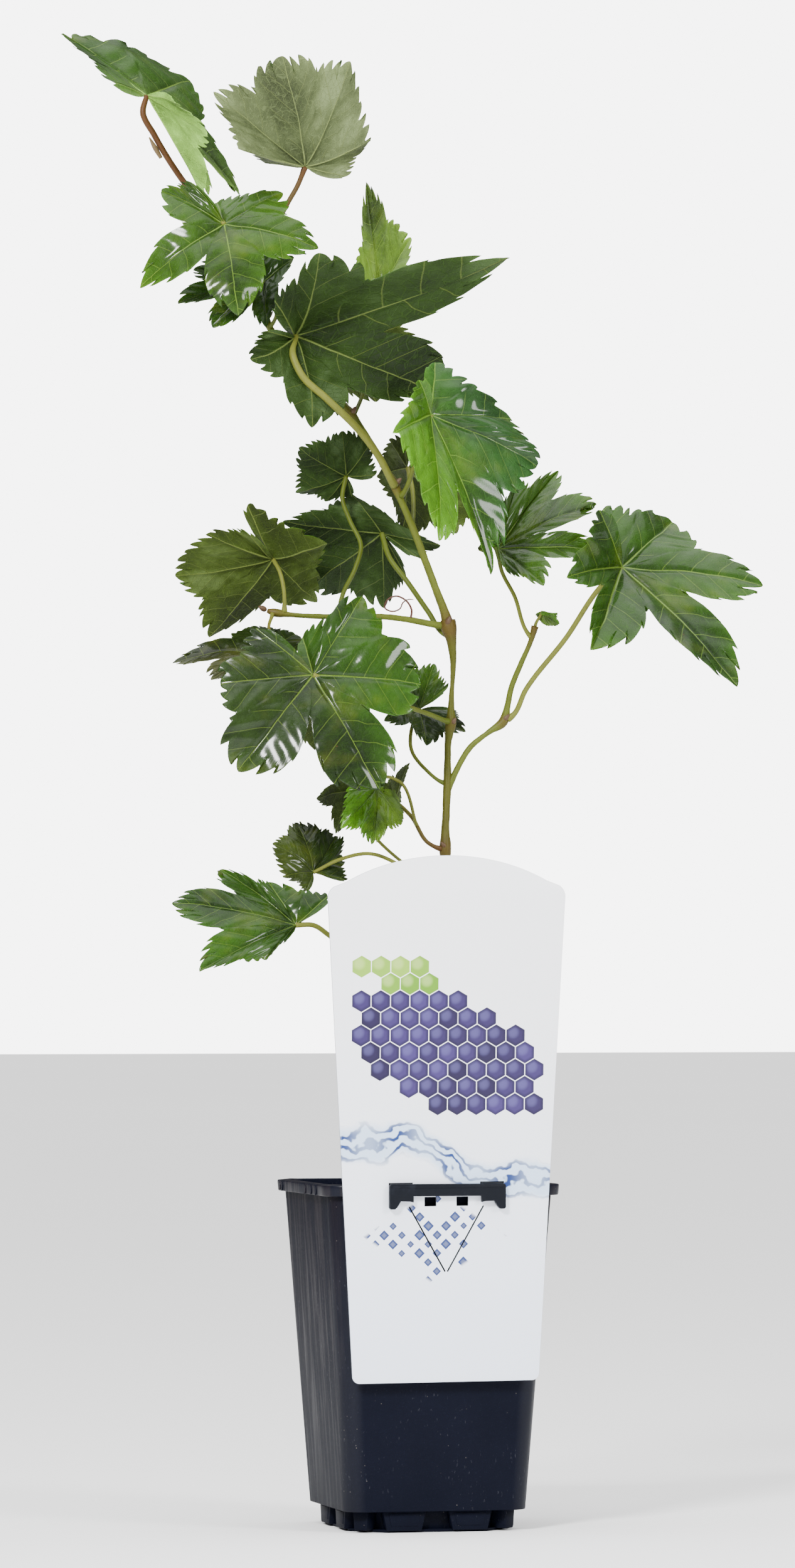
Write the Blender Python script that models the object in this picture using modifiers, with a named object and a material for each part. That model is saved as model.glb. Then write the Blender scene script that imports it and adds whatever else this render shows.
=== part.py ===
"""A young grapevine in a tall square nursery pot, with its care label.

Lengths in the drawing are millimetres. The pot stands square to the axes with its
front towards -Y, and the origin is the centre of its flat underside. The vine is
drawn as it is seen when turned a little: x to the right, y away, z up.
"""
import math

import bmesh
import bpy
from mathutils import Matrix, Vector

MM = 0.001
TURN = math.radians(-13.5)
VINE_ASIDE = Vector((1.2, 0, 0))
GAP = 0.3
KNEE = 1.6
LEAF_WELDS = (0.00008, 0.00004, 0.00001)

# Pot
POT_HEIGHT = 182.8
RIM_HALF = 64.3
RIM_DEEP = 5.8
BODY_TOP_HALF = 60.4
BODY_FOOT_HALF = 49.2
PLINTH_HIGH = 11.2
PLINTH_HALF = 41.0
SOLE_HALF = 44.0
WALL = 2.2
FLOOR = 3.0
CORNER = 11.0
RIM_CORNER = 13.0
SOLE_CORNER = 15.0
RIM_DRAW = 0.4
PLINTH_DRAW = 1.0
SOLE_DRAW = 0.6
SOLE_HIGH = 1.6
OVERLAP = 0.5
LUG_AT = 17.8
LUG_TOP_HALF = 12.0
LUG_FOOT_HALF = 9.3
LUG_TOP_OUT = 46.2
LUG_FOOT_OUT = 44.0
LUG_BACK = 36.0
LUG_LOW = 0.9
LUG_HIGH = 12.4
SOIL_TOP = 172.0
SOIL_EDGE = 1.5
SOIL_SLOPE = 9.0

# Label
LABEL_THICK = 1.0
LABEL_FOOT = 79.5
LABEL_TOP = 355.6
LABEL_TOP_HALF = 64.0
LABEL_FOOT_HALF = 50.4
LABEL_FRONT = 64.7
LABEL_LEAN = math.radians(2.6)
LABEL_SKEW = math.radians(-0.5)
SLIT = 0.5
TONGUE_LONG = 39.5
TONGUE_TIP = 137.5
TONGUE_SLANT = math.radians(29.5)
ARM_AT = (-24.6, 24.6)
ARM_HALF = 5.8

# Leaf blade: five main veins and two small ears, degrees from the midrib
LOBE_ANGLES = (-150, -104, -52, 0, 52, 104, 150)
LOBE_REACH = (0.55, 0.74, 0.90, 1.0, 0.90, 0.74, 0.55)
BLADE_THICK = 0.017
BLADE_LEAST = 0.75
EAR_END = (176, 0.10)
EAR_BAY = 0.56
EAR_TURN = 46
EAR_PAST = 26
FULL_SWEEP = 350
EAR_APART = 0.035
EAR_BEND = 2.5
LOBE_BEND = 3
INNER_RING = 0.5
PUFF = 0.05
WAVE = 0.03
KNOB = 1.7

# Stalks and limbs
SHORT_STEP = 5
KNOT_NEAR = 3.5
STALK_FOOT = 0.35
STALK_NECK = 0.7

# The limbs, from foot to tip: place and radius
MAIN_STEM = (
    (7, 4, 172.3, 5.2), (7, 4, 177, 3.7), (8, 5, 190, 3.1), (11, 6, 244, 2.7), (13, 8, 311, 2.3),
    (14, 8, 352, 2.1), (14, 8, 360, 2.9), (14, 8, 368, 2.1), (15, 10, 393, 2.0), (16, 12, 421, 2.0),
    (17, 12, 427, 2.6), (17, 12, 434, 1.9), (18, 12, 465, 1.9), (17, 12, 473, 2.6), (16, 12, 479, 3.6),
    (15.4, 12, 482, 3.0),
)
UPPER_SHOOT = (
    (15.3, 12, 482, 2.7), (10, 10, 496, 1.9), (4, 8, 512, 1.8), (-4, 6, 533, 1.8), (-13, 4, 554, 2.3),
    (-23, 6, 572, 1.7), (-36, 8, 592, 2.2), (-56, 10, 616, 1.6), (-73, 10, 630, 1.6), (-82, 6, 643, 2.0),
    (-95, 4, 669, 1.5), (-108, 2, 693, 1.5), (-121, 0, 710, 1.9),
)
LEFT_SHOOT = (
    (16, 12, 479, 1.7), (5, 11, 480.5, 1.6), (-3, 10, 482, 1.5), (-20, 8, 484, 1.4), (-36, 8, 484, 1.7),
    (-53, 6, 484, 1.3), (-70, 4, 485, 1.3), (-77, 4, 486, 2.0), (-81, 4, 487, 1.2),
)
RIGHT_SHOOT = (
    (15, 10, 391, 1.6), (19, 11, 400, 1.5), (28, 14, 415, 1.4), (38, 15, 423, 1.4), (45, 16, 428, 2.3),
    (49, 14, 445, 1.5), (54, 12, 458, 1.3), (61, 10, 475, 1.2), (62, 10, 479, 1.7),
)

# Leaves: the joint of stalk and blade, the tips of the lobes going round from the left
# one seen from above, how deep the bays reach, and how far the blade arches.
LEAVES = {
    "leaf_top": {
        "joint": (-145, -8, 761),
        "tips": ((-168, -4, 773), (-190, -14, 795), (-124, 36, 774), (-96, 12, 710), (-114, -24, 704),
                 (-112, -40, 736), (-127, -34, 752)),
        "bays": (0.85, 0.7, 0.5, 0.6), "bow": 3, "waves": 4,
    },
    "leaf_crown": {
        "joint": (-61, 12, 725),
        "tips": ((-37, 15, 723), (-26, 12, 740), (-37, -8, 779), (-73, -18, 781), (-110, -30, 761),
                 (-96, -20, 732), (-84, 4, 728)),
        "bays": (0.75, 0.8, 0.75, 0.7), "bow": -6,
    },
    "leaf_upper_left": {
        "joint": (-103, -42, 689),
        "tips": ((-104, -24, 705), (-72, -16, 710), (-53, -30, 677), (-95, -62, 639), (-148, -46, 656),
                 (-137, -30, 708), (-124, -35, 712)),
        "bays": (0.72, 0.75, 0.6, 0.55), "bow": 6,
    },
    "leaf_under_left": {
        "joint": (-83, -14, 661),
        "tips": ((-66, 0, 676), (-81, -30, 635), (-109, -34, 635), (-128, -26, 650), (-120, -16, 667)),
        "bays": (0.66, 0.6, 0.6, 0.66), "bow": 3,
    },
    "leaf_wide": {
        "joint": (-66, -18, 632),
        "tips": ((-90, -42, 617), (-56, -28, 582), (9, 12, 604), (46, 26, 679), (-53, -66, 672)),
        "bays": (0.72, 0.7, 0.62, 0.6), "bow": -8,
    },
    "leaf_bright": {
        "joint": (-21, 46, 660),
        "tips": ((-33, 40, 642), (-36, 54, 667), (-29, 72, 724), (-4, 60, 692), (-6, 48, 663)),
        "bays": (0.7, 0.45, 0.6, 0.7), "bow": 2,
    },
    "leaf_inner": {
        "joint": (-39, 20, 560),
        "tips": ((-26, 14, 578), (-41, 8, 583), (-64, 12, 575), (-66, 24, 552), (-50, 26, 547)),
        "bays": (0.8, 0.85, 0.85, 0.7), "bow": -3,
    },
    "leaf_middle": {
        "joint": (-20, 34, 530),
        "tips": ((11, 46, 524), (-36, 32, 551), (-73, 24, 536), (-61, 38, 502), (-19, 56, 491)),
        "bays": (0.7, 0.8, 0.8, 0.7), "bow": -3,
    },
    "leaf_front_right": {
        "joint": (6, -34, 589),
        "tips": ((14, -22, 617), (50, -14, 588), (62, -12, 563), (39, -46, 504), (11, -62, 521),
                 (-14, -64, 577), (-3, -50, 604)),
        "bays": (0.8, 0.75, 0.62, 0.8), "bow": 5,
    },
    "leaf_right": {
        "joint": (42, 6, 520),
        "tips": ((43, 16, 541), (53, 24, 558), (75, 42, 563), (95, 16, 546), (96, 2, 520),
                 (66, -18, 499), (49, -10, 504)),
        "bays": (0.75, 0.75, 0.55, 0.6), "bow": 4,
    },
    "leaf_far_right": {
        "joint": (108, 2, 510),
        "tips": ((103, 22, 545), (137, 34, 537), (183, 10, 500), (169, -28, 446), (91, -46, 465),
                 (78, -46, 502), (92, -26, 536)),
        "bays": (0.75, 0.58, 0.55, 0.5), "bow": 5,
    },
    "leaf_left": {
        "joint": (-78, 12, 515),
        "tips": ((-95, -4, 531), (-113, -8, 528), (-130, 4, 505), (-113, 26, 475), (-55, 30, 494),
                 (-49, 8, 523), (-88, -12, 542)),
        "bays": (0.85, 0.85, 0.7, 0.8), "bow": -3,
    },
    "leaf_front_left": {
        "joint": (-56, -40, 451),
        "tips": ((-59, -30, 476), (-30, -24, 494), (1, -34, 446), (-21, -52, 390), (-95, -52, 400),
                 (-105, -44, 446), (-90, -34, 474)),
        "bays": (0.8, 0.4, 0.36, 0.8), "bow": 5,
    },
    "leaf_far_left": {
        "joint": (-79, -14, 464),
        "tips": ((-82, -40, 445), (-110, -34, 448), (-131, -20, 459), (-90, 14, 479), (-66, 16, 475)),
        "bays": (0.66, 0.6, 0.6, 0.66), "bow": 3,
    },
    "leaf_stem": {
        "joint": (0, 26, 435),
        "tips": ((25, 24, 423), (4, 14, 415), (-19, 22, 429), (-9, 40, 458), (8, 42, 460)),
        "bays": (0.66, 0.6, 0.6, 0.66), "bow": 2,
    },
    "leaf_small_dark": {
        "joint": (-37, 8, 391),
        "tips": ((-31, -4, 404), (-41, -6, 403), (-55, 2, 387), (-45, 22, 369), (-36, 22, 372)),
        "bays": (0.7, 0.6, 0.6, 0.7), "bow": 1,
    },
    "leaf_small_bright": {
        "joint": (-23, -4, 392),
        "tips": ((-10, 10, 386), (-10, -10, 372), (-25, -22, 362), (-41, -26, 371), (-39, -14, 390)),
        "bays": (0.8, 0.8, 0.8, 0.8), "bow": 2,
    },
    "leaf_small_grey": {
        "joint": (-13, 12, 386),
        "tips": ((-16, 24, 378), (-9, 24, 382), (-5, 10, 406), (-16, -2, 398), (-19, 0, 389)),
        "bays": (0.66, 0.6, 0.6, 0.66), "bow": 1,
    },
    "leaf_crumpled": {
        "joint": (-56, -20, 347),
        "tips": ((-72, -28, 345), (-78, -24, 362), (-66, -4, 374), (-43, 8, 368), (-41, -2, 357)),
        "bays": (0.8, 0.8, 0.8, 0.8), "bow": 3,
    },
    "leaf_lowest": {
        "joint": (-65, -48, 319),
        "tips": ((-70, -60, 311), (-80, -66, 301), (-115, -72, 294), (-130, -56, 331), (-105, -30, 350),
                 (-80, -36, 341), (-50, -40, 335)),
        "bays": (0.8, 0.75, 0.75, 0.75), "bow": 4,
    },
    "leaf_back_middle": {
        "joint": (-6, 62, 567),
        "tips": ((-16, 78, 584), (-23, 90, 564), (-9, 84, 533), (21, 80, 533), (32, 70, 563)),
        "bays": (0.8, 0.8, 0.8, 0.8), "bow": 3,
    },
    "leaf_back_low": {
        "joint": (-50, 20, 442),
        "tips": ((-73, 26, 452), (-80, 40, 429), (-53, 50, 413), (-31, 50, 433), (-36, 36, 459)),
        "bays": (0.8, 0.8, 0.8, 0.8), "bow": 3,
    },
    "leaf_back_high": {
        "joint": (-43, 50, 629),
        "tips": ((-64, 60, 637), (-57, 76, 611), (-23, 74, 604), (4, 74, 624), (-9, 70, 645)),
        "bays": (0.8, 0.8, 0.8, 0.8), "bow": 3,
    },
    "leaf_bud": {
        "joint": (66, 9, 487),
        "tips": ((71, 4, 485), (74, 6, 486), (75, 8, 480), (70, 12, 479), (65, 12, 482)),
        "bays": (0.8, 0.8, 0.8, 0.8), "bow": 1,
    },
}

# Stalks: the limb each leaves, its own way to the joint, and the radius at foot, middle and joint
STALKS = {
    "leaf_top": ("upper", ((-123, 0, 713), (-132, -4, 725), (-141, -8, 740), (-147, -10, 752)), (2.2, 1.5, 1.3)),
    "leaf_crown": ("upper", ((-88, 6, 656), (-80, 9, 685), (-70, 11, 706), (-65, 12, 715)), (1.5, 1.2, 1.5)),
    "leaf_upper_left": ("upper", ((-99, 2, 677), (-108, -10, 687), (-114, -24, 699), (-111, -34, 700)),
                        (1.4, 0.9, 1.2)),
    "leaf_under_left": ("upper", ((-80, 6, 639), (-76, -2, 645), (-79, -10, 655)), (1.3, 0.9, 1.1)),
    "leaf_wide": ("upper", ((-13, 4, 554), (-21, -6, 568), (-31, -14, 581), (-49, -26, 598), (-62, -30, 610),
                  (-67, -28, 621)), (2.2, 1.8, 1.9)),
    "leaf_bright": ("upper", ((-36, 8, 592), (-28, 24, 612), (-22, 38, 636), (-21, 44, 650)), (1.5, 1.0, 1.2)),
    "leaf_inner": ("left", ((-43, 8, 484), (-41, 9, 495), (-34, 9, 510), (-31, 13, 522), (-37, 17, 536),
                   (-41, 19, 548)), (1.5, 1.1, 1.2)),
    "leaf_middle": ("main", ((16, 14, 475), (5, 19, 487), (-6, 22, 503), (-16, 27, 517)), (1.6, 1.3, 1.3)),
    "leaf_front_right": ("upper", ((-10, 4, 548), (-3, -8, 562), (2, -20, 578)), (1.6, 1.2, 1.4)),
    "leaf_right": ("right", ((60, 10, 473), (51, 10, 495), (44, 10, 509)), (1.3, 1.0, 1.1)),
    "leaf_far_right": ("right", ((46, 16, 430), (57, 14, 445), (78, 10, 472), (99, 4, 502)), (2.0, 1.3, 1.4)),
    "leaf_left": ("left", ((-72, 4, 485), (-72, 3, 497), (-74, 5, 507)), (1.5, 1.0, 1.1)),
    "leaf_front_left": ("main", ((17, 12, 428), (7, 0, 431), (-9, -14, 436), (-29, -26, 442), (-42, -36, 446)),
                        (1.7, 1.2, 1.3)),
    "leaf_far_left": ("left", ((-78, 4, 486), (-80, -4, 478), (-78, -10, 471)), (1.2, 0.8, 0.9)),
    "leaf_stem": ("main", ((15, 10, 395), (4, 12, 402), (-4, 18, 413), (-3, 24, 428)), (1.3, 0.9, 0.9)),
    "leaf_small_dark": ("main", ((13, 8, 344), (-3, 8, 349), (-14, 6, 357), (-25, 6, 368), (-33, 7, 380)),
                        (1.2, 0.8, 0.8)),
    "leaf_small_grey": ("main", ((14, 8, 360), (5, 4, 363), (-4, 6, 377)), (1.5, 1.0, 0.8)),
    "leaf_small_bright": ("leaf_small_grey", ((-1, 5, 372), (-11, 0, 396), (-18, -3, 398)), (0.9, 0.8, 0.8)),
    "leaf_crumpled": ("main", ((13, 8, 328), (-1, 2, 344), (-12, -3, 352), (-25, -8, 357), (-42, -16, 354)),
                      (1.2, 0.9, 0.9)),
    "leaf_lowest": ("main", ((12, 8, 284), (-16, -10, 291), (-36, -30, 304), (-48, -40, 314), (-56, -46, 319)),
                    (1.6, 1.2, 1.3)),
    "leaf_back_middle": ("upper", ((-4, 6, 533), (-3, 30, 547), (-4, 50, 558)), (1.5, 1.1, 1.1)),
    "leaf_back_low": ("left", ((-36, 8, 484), (-39, 14, 465), (-46, 18, 450)), (1.4, 1.0, 1.0)),
    "leaf_back_high": ("upper", ((-56, 10, 616), (-52, 28, 622), (-46, 42, 627)), (1.4, 1.0, 1.0)),
    "leaf_bud": ("right", ((63, 10, 482), (65, 9, 485)), (0.9, 0.7, 0.7)),
}
SMALL = ("leaf_inner", "leaf_stem", "leaf_small_dark", "leaf_small_bright", "leaf_small_grey", "leaf_crumpled",
         "leaf_under_left", "leaf_bright", "leaf_far_left", "leaf_back_middle", "leaf_back_low",
         "leaf_back_high")


def seen(place):
    """A place in the vine's own drawing, in metres in the part's frame."""
    return Matrix.Rotation(TURN, 3, "Z") @ (Vector(place[:3]) + VINE_ASIDE) * MM


def clear():
    for thing in list(bpy.data.objects):
        bpy.data.objects.remove(thing)


def collection(name):
    made = bpy.data.collections.new(name)
    bpy.context.scene.collection.children.link(made)
    return made


def material(name, colour, roughness):
    made = bpy.data.materials.new(name)
    made.use_nodes = True
    shader = made.node_tree.nodes["Principled BSDF"]
    shader.inputs["Base Color"].default_value = (*colour, 1.0)
    shader.inputs["Roughness"].default_value = roughness
    return made


def keep(home, name, mesh, paint):
    """A finished node: one mesh, one material, no modifiers left."""
    mesh.name = name
    mesh.materials.clear()
    mesh.materials.append(paint)
    for face in mesh.polygons:
        face.material_index = 0
    made = bpy.data.objects.new(name, mesh)
    home.objects.link(made)
    return made


def loose(mesh):
    made = bpy.data.objects.new("loose", mesh)
    bpy.context.scene.collection.objects.link(made)
    return made


def applied(thing):
    """The mesh an object comes to once its modifiers are applied; the object goes."""
    bpy.context.view_layer.update()
    graph = bpy.context.evaluated_depsgraph_get()
    mesh = bpy.data.meshes.new_from_object(thing.evaluated_get(graph), depsgraph=graph)
    bpy.data.objects.remove(thing)
    return mesh


def drop_flaps(bm):
    """Takes out faces that lie back to back on the same corners, and edges left with no face."""
    bmesh.ops.triangulate(bm, faces=bm.faces[:])
    by_corners = {}
    for face in bm.faces:
        by_corners.setdefault(frozenset(face.verts), []).append(face)
    flaps = [face for faces in by_corners.values() if len(faces) > 1 for face in faces]
    if flaps:
        bmesh.ops.delete(bm, geom=flaps, context="FACES_ONLY")
    bare = [edge for edge in bm.edges if not edge.link_faces]
    if bare:
        bmesh.ops.delete(bm, geom=bare, context="EDGES")
    lone = [vert for vert in bm.verts if not vert.link_faces]
    if lone:
        bmesh.ops.delete(bm, geom=lone, context="VERTS")


def pieces_of(bm):
    """The mesh's separate pieces as sets of corners, smallest first."""
    left = set(bm.verts)
    pieces = []
    while left:
        piece = {left.pop()}
        front = list(piece)
        while front:
            for edge in front.pop().link_edges:
                near = set(edge.verts) & left
                left -= near
                piece |= near
                front += near
        pieces.append(piece)
    return sorted(pieces, key=len)


def tidy(mesh, merge=0.00001):
    """Welds the seams, keeps the largest piece and turns the faces outward."""
    bm = bmesh.new()
    bm.from_mesh(mesh)
    bmesh.ops.remove_doubles(bm, verts=bm.verts[:], dist=merge)
    bmesh.ops.dissolve_degenerate(bm, dist=merge, edges=bm.edges[:])
    drop_flaps(bm)
    for piece in pieces_of(bm)[:-1]:
        bmesh.ops.delete(bm, geom=list(piece), context="VERTS")
    bmesh.ops.recalc_face_normals(bm, faces=bm.faces[:])
    bm.to_mesh(mesh)
    bm.free()
    return mesh


def combine(base, others, operation="UNION", solver="EXACT"):
    """One Boolean of a mesh with a collection of meshes, applied."""
    tools = collection("cutters")
    tools.hide_render = True
    for mesh in others:
        tool = bpy.data.objects.new("cutter", mesh)
        tool.display_type = "WIRE"
        tool.hide_render = True
        tools.objects.link(tool)
    host = loose(base)
    change = host.modifiers.new("Boolean", "BOOLEAN")
    change.operation = operation
    change.operand_type = "COLLECTION"
    change.collection = tools
    change.solver = solver
    if solver == "EXACT":
        change.use_self = True
    mesh = applied(host)
    for tool in list(tools.objects):
        bpy.data.objects.remove(tool)
    bpy.data.collections.remove(tools)
    return mesh


def closed(mesh):
    """Whether every edge of a mesh lies between two faces."""
    bm = bmesh.new()
    bm.from_mesh(mesh)
    sound = all(len(edge.link_faces) == 2 for edge in bm.edges)
    bm.free()
    return sound


def joined(base, others):
    """The pieces as one body, by the first weld and solver that leave every edge closed."""
    for weld in LEAF_WELDS:
        for solver in ("EXACT", "MANIFOLD"):
            mesh = tidy(combine(base, others, solver=solver), weld)
            if closed(mesh):
                return mesh
    return mesh


# Limbs and stalks


def smooth(points, parts):
    """A smooth way through places that each carry a radius."""
    spots = [Vector(point) for point in points]
    steps = [(b - a).xyz.length for a, b in zip(spots[:-1], spots[1:])]
    slopes = [(b - a) / step for a, b, step in zip(spots[:-1], spots[1:], steps)]
    ways = [slopes[0]]
    for before, after, near, far in zip(slopes[:-1], slopes[1:], steps[:-1], steps[1:]):
        ways.append((before * far + after * near) / (near + far))
    ways.append(slopes[-1])
    made = []
    for i, step in enumerate(steps):
        count = parts if step > SHORT_STEP else 1
        for k in range(count):
            t = k / count
            bend = ways[i] * step * (t * (1 - t) ** 2) - ways[i + 1] * step * (t * t * (1 - t))
            made.append(spots[i].lerp(spots[i + 1], t * t * (3 - 2 * t)) + bend)
    made.append(spots[-1])
    return made


def tube(way, sides):
    """A round tapering limb along a way, with flat ends."""
    curve = bpy.data.curves.new("way", "CURVE")
    curve.dimensions = "3D"
    curve.bevel_depth = MM
    curve.bevel_resolution = (sides - 4) // 2
    curve.use_fill_caps = True
    line = curve.splines.new("POLY")
    line.points.add(len(way) - 1)
    for point, place in zip(line.points, way):
        point.co = (*seen(place), 1.0)
        point.radius = place[3]
    thing = bpy.data.objects.new("way", curve)
    bpy.context.scene.collection.objects.link(thing)
    mesh = applied(thing)
    bpy.data.curves.remove(curve)
    return tidy(mesh)


def nearest(way, place):
    """The spot on a limb nearest a place, the limb's direction there and its radius."""
    best = None
    for a, b in zip(way[:-1], way[1:]):
        along = (b - a).xyz
        t = max(0.0, min(1.0, (Vector(place) - a.xyz).dot(along) / along.length_squared))
        spot = a.lerp(b, t)
        away = (Vector(place) - spot.xyz).length
        if best is None or away < best[0]:
            best = (away, spot, along.normalized())
    spot = best[1]
    near = [point[3] for point in way if (point - spot).xyz.length < KNOT_NEAR]
    return spot.xyz, best[2], max([spot[3]] + near)


def side_way(limb, places, radii):
    """A stalk's way from just clear of a limb's skin."""
    spot, along, radius = nearest(limb, places[0])
    aim = Vector(places[1]) - spot
    out = (aim - along * aim.dot(along)).normalized()
    return stalk_on(spot + out * radius, out, places, radii)


def tip_way(limb, places, radii):
    """A stalk's way straight on from a limb's tip."""
    return stalk_on(limb[-1].xyz, (limb[-1] - limb[-2]).xyz.normalized(), places, radii)


def stalk_on(seat, out, places, radii):
    return stalk_way([seat + out * GAP, seat + out * (GAP + KNEE)] + list(places[1:]), radii)


def stalk_way(places, radii):
    """A smooth way whose thickness goes from foot to middle to joint."""
    foot, middle, joint = radii
    count = len(places) - 1
    points = []
    for i, place in enumerate(places):
        t = i / count
        if t < STALK_FOOT:
            radius = foot + (middle - foot) * t / STALK_FOOT
        elif t < STALK_NECK:
            radius = middle
        else:
            radius = middle + (joint - middle) * (t - STALK_NECK) / (1 - STALK_NECK)
        points.append((*place, radius))
    return smooth(points, 2)


# Leaf blades


def blade_margin(bays, parts):
    """The blade's edge, as an angle from the midrib and a reach from the joint."""
    last, least = EAR_END
    depths = (EAR_BAY, *bays, EAR_BAY)
    stops = [(-last, least)]
    for k, lobe in enumerate(zip(LOBE_ANGLES, LOBE_REACH)):
        stops.append(lobe)
        if k < len(depths):
            stops.append(((LOBE_ANGLES[k] + LOBE_ANGLES[k + 1]) / 2, depths[k]))
    stops.append((last, least))
    edge = []
    for (a0, r0), (a1, r1) in zip(stops[:-1], stops[1:]):
        high, low = max(r0, r1), min(r0, r1)
        blunt = min(0.5, 0.1 + 0.6 * (1 - low / high))
        for i in range(parts):
            f = i / parts
            s = f if r0 > r1 else 1 - f
            if last in (abs(a0), abs(a1)):
                shape = 1 - s ** EAR_BEND
            else:
                shape = (1 - blunt) * (1 - s) + blunt * (1 - s ** LOBE_BEND)
            edge.append((a0 + (a1 - a0) * f, low + (high - low) * shape))
    edge.append(stops[-1])
    return edge


class Blade:
    """A lobed blade hung between its vein tips."""

    def __init__(self, joint, tips, bays, bow, waves=5):
        self.joint = Vector(joint)
        self.bays, self.bow, self.waves = bays, bow, waves
        tips = [Vector(tip) - self.joint for tip in tips]
        reach = LOBE_REACH if len(tips) == 7 else LOBE_REACH[1:-1]
        arms = [tip / far for tip, far in zip(tips, reach)]
        up = Vector((0, 0, 0))
        for a, b in zip(arms[:-1], arms[1:]):
            up += b.cross(a)
        self.up = up.normalized()
        self.size = sum(arm.length for arm in arms) / len(arms)
        self.arms = [(tip - self.up * self.arch(far)) / far for tip, far in zip(tips, reach)]
        if len(tips) == 5:
            sweep = sum(a.angle(b) for a, b in zip(self.arms[:-1], self.arms[1:]))
            most = (math.radians(FULL_SWEEP) - sweep) / (2 + 2 * EAR_PAST / EAR_TURN)
            turn = min(math.radians(EAR_TURN), most)
            self.arms = [self.ear(0, 1, turn)] + self.arms + [self.ear(-1, -2, turn)]

    def ear(self, last, before, turn):
        """The short arm behind the lowest vein, going on round in its plane."""
        arm, other = self.arms[last], self.arms[before]
        away = arm * math.cos(arm.angle(other)) - other * arm.length / other.length
        return arm * math.cos(turn) + away.normalized() * arm.length * math.sin(turn)

    def arch(self, reach):
        return self.bow * 4 * reach * (1 - reach)

    def place(self, angle, reach):
        """A point of the blade; the two ears lie a little apart, one above the other."""
        k = 0
        while k < 5 and angle > LOBE_ANGLES[k + 1]:
            k += 1
        wide = LOBE_ANGLES[k + 1] - LOBE_ANGLES[k]
        turn = math.radians(wide)
        t = (angle - LOBE_ANGLES[k]) / wide
        arm = (self.arms[k] * math.sin((1 - t) * turn) + self.arms[k + 1] * math.sin(t * turn)) / math.sin(turn)
        between = math.sin(math.pi * min(1.0, max(0.0, t))) ** 2
        puff = PUFF * self.size * between * reach
        wave = WAVE * self.size * math.sin(math.radians(self.waves * angle)) * reach ** 2
        apart = EAR_APART * self.size * (angle / LOBE_ANGLES[-1]) ** 5 * math.sqrt(reach)
        return self.joint + arm * reach + self.up * (self.arch(reach) + puff + wave + apart)

    def mesh(self, parts):
        """A flat grid laid out to the lobed shape, then thickened."""
        edge = blade_margin(self.bays, parts)
        spokes = len(edge) - 1
        bpy.ops.mesh.primitive_grid_add(x_subdivisions=spokes, y_subdivisions=2, size=2)
        sheet = bpy.context.object
        for vert in sheet.data.vertices:
            spoke = round((vert.co.x + 1) / 2 * spokes)
            ring = round(vert.co.y + 1)
            if ring == 1:
                spoke = round(spoke / parts) * parts
            angle, reach = edge[spoke]
            vert.co = seen(self.place(angle, reach * (0, INNER_RING, 1)[ring]))
        bm = bmesh.new()
        bm.from_mesh(sheet.data)
        bmesh.ops.remove_doubles(bm, verts=bm.verts[:], dist=0.00001)
        bmesh.ops.triangulate(bm, faces=bm.faces[:])
        bm.to_mesh(sheet.data)
        bm.free()
        thick = sheet.modifiers.new("Solidify", "SOLIDIFY")
        thick.thickness = max(BLADE_LEAST, BLADE_THICK * self.size) * MM
        thick.offset = 0
        return tidy(applied(sheet))


def knob(place, radius):
    """The small swelling where stalk and blade meet."""
    bpy.ops.mesh.primitive_ico_sphere_add(subdivisions=1, radius=radius * MM, location=seen(place))
    ball = bpy.context.object
    ball.data.transform(Matrix.Translation(ball.location))
    ball.location = (0, 0, 0)
    return applied(ball)


def blade_of(name):
    leaf = LEAVES[name]
    parts = 2 if name in SMALL else 3
    if name == "leaf_bud":
        parts = 1
    return Blade(leaf["joint"], leaf["tips"], leaf["bays"], leaf["bow"], leaf.get("waves", 5)).mesh(parts)


def leaf(home, name, limb, places, radii, paint, second=None):
    """A leaf on its stalk as one body."""
    joint = LEAVES[name]["joint"]
    places = list(places) + [joint]
    way = tip_way(limb, places, radii) if name in ("leaf_top", "leaf_bud") else side_way(limb, places, radii)
    pieces = [blade_of(name), knob(joint, radii[2] * KNOB)]
    if second:
        _, own, own_radii = STALKS[second]
        start = nearest(way, own[0])[0]
        more = [start] + list(own[1:]) + [LEAVES[second]["joint"]]
        pieces.append(tube(stalk_way(more, own_radii), 6))
        pieces.append(blade_of(second))
        pieces.append(knob(LEAVES[second]["joint"], own_radii[2] * KNOB))
    return keep(home, name, joined(tube(way, 6), pieces), paint)


def side_limb(points, parent):
    """A shoot's way, its foot just clear of the side of the limb it leaves."""
    spot, along, radius = nearest(parent, points[0][:3])
    aim = Vector(points[1][:3]) - spot
    out = (aim - along * aim.dot(along)).normalized()
    return limb_on(spot + out * radius, out, points)


def tip_limb(points, parent):
    """A shoot's way that carries on from the end of another limb."""
    return limb_on(parent[-1].xyz, (parent[-1] - parent[-2]).xyz.normalized(), points)


def limb_on(seat, out, points):
    """A limb's way whose foot stands straight off a seat, just clear of it."""
    foot = (*(seat + out * GAP), points[0][3])
    knee = (*(seat + out * (GAP + KNEE)), points[0][3])
    return smooth([foot, knee] + list(points[1:]), 2)


# Pot, soil and label


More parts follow.
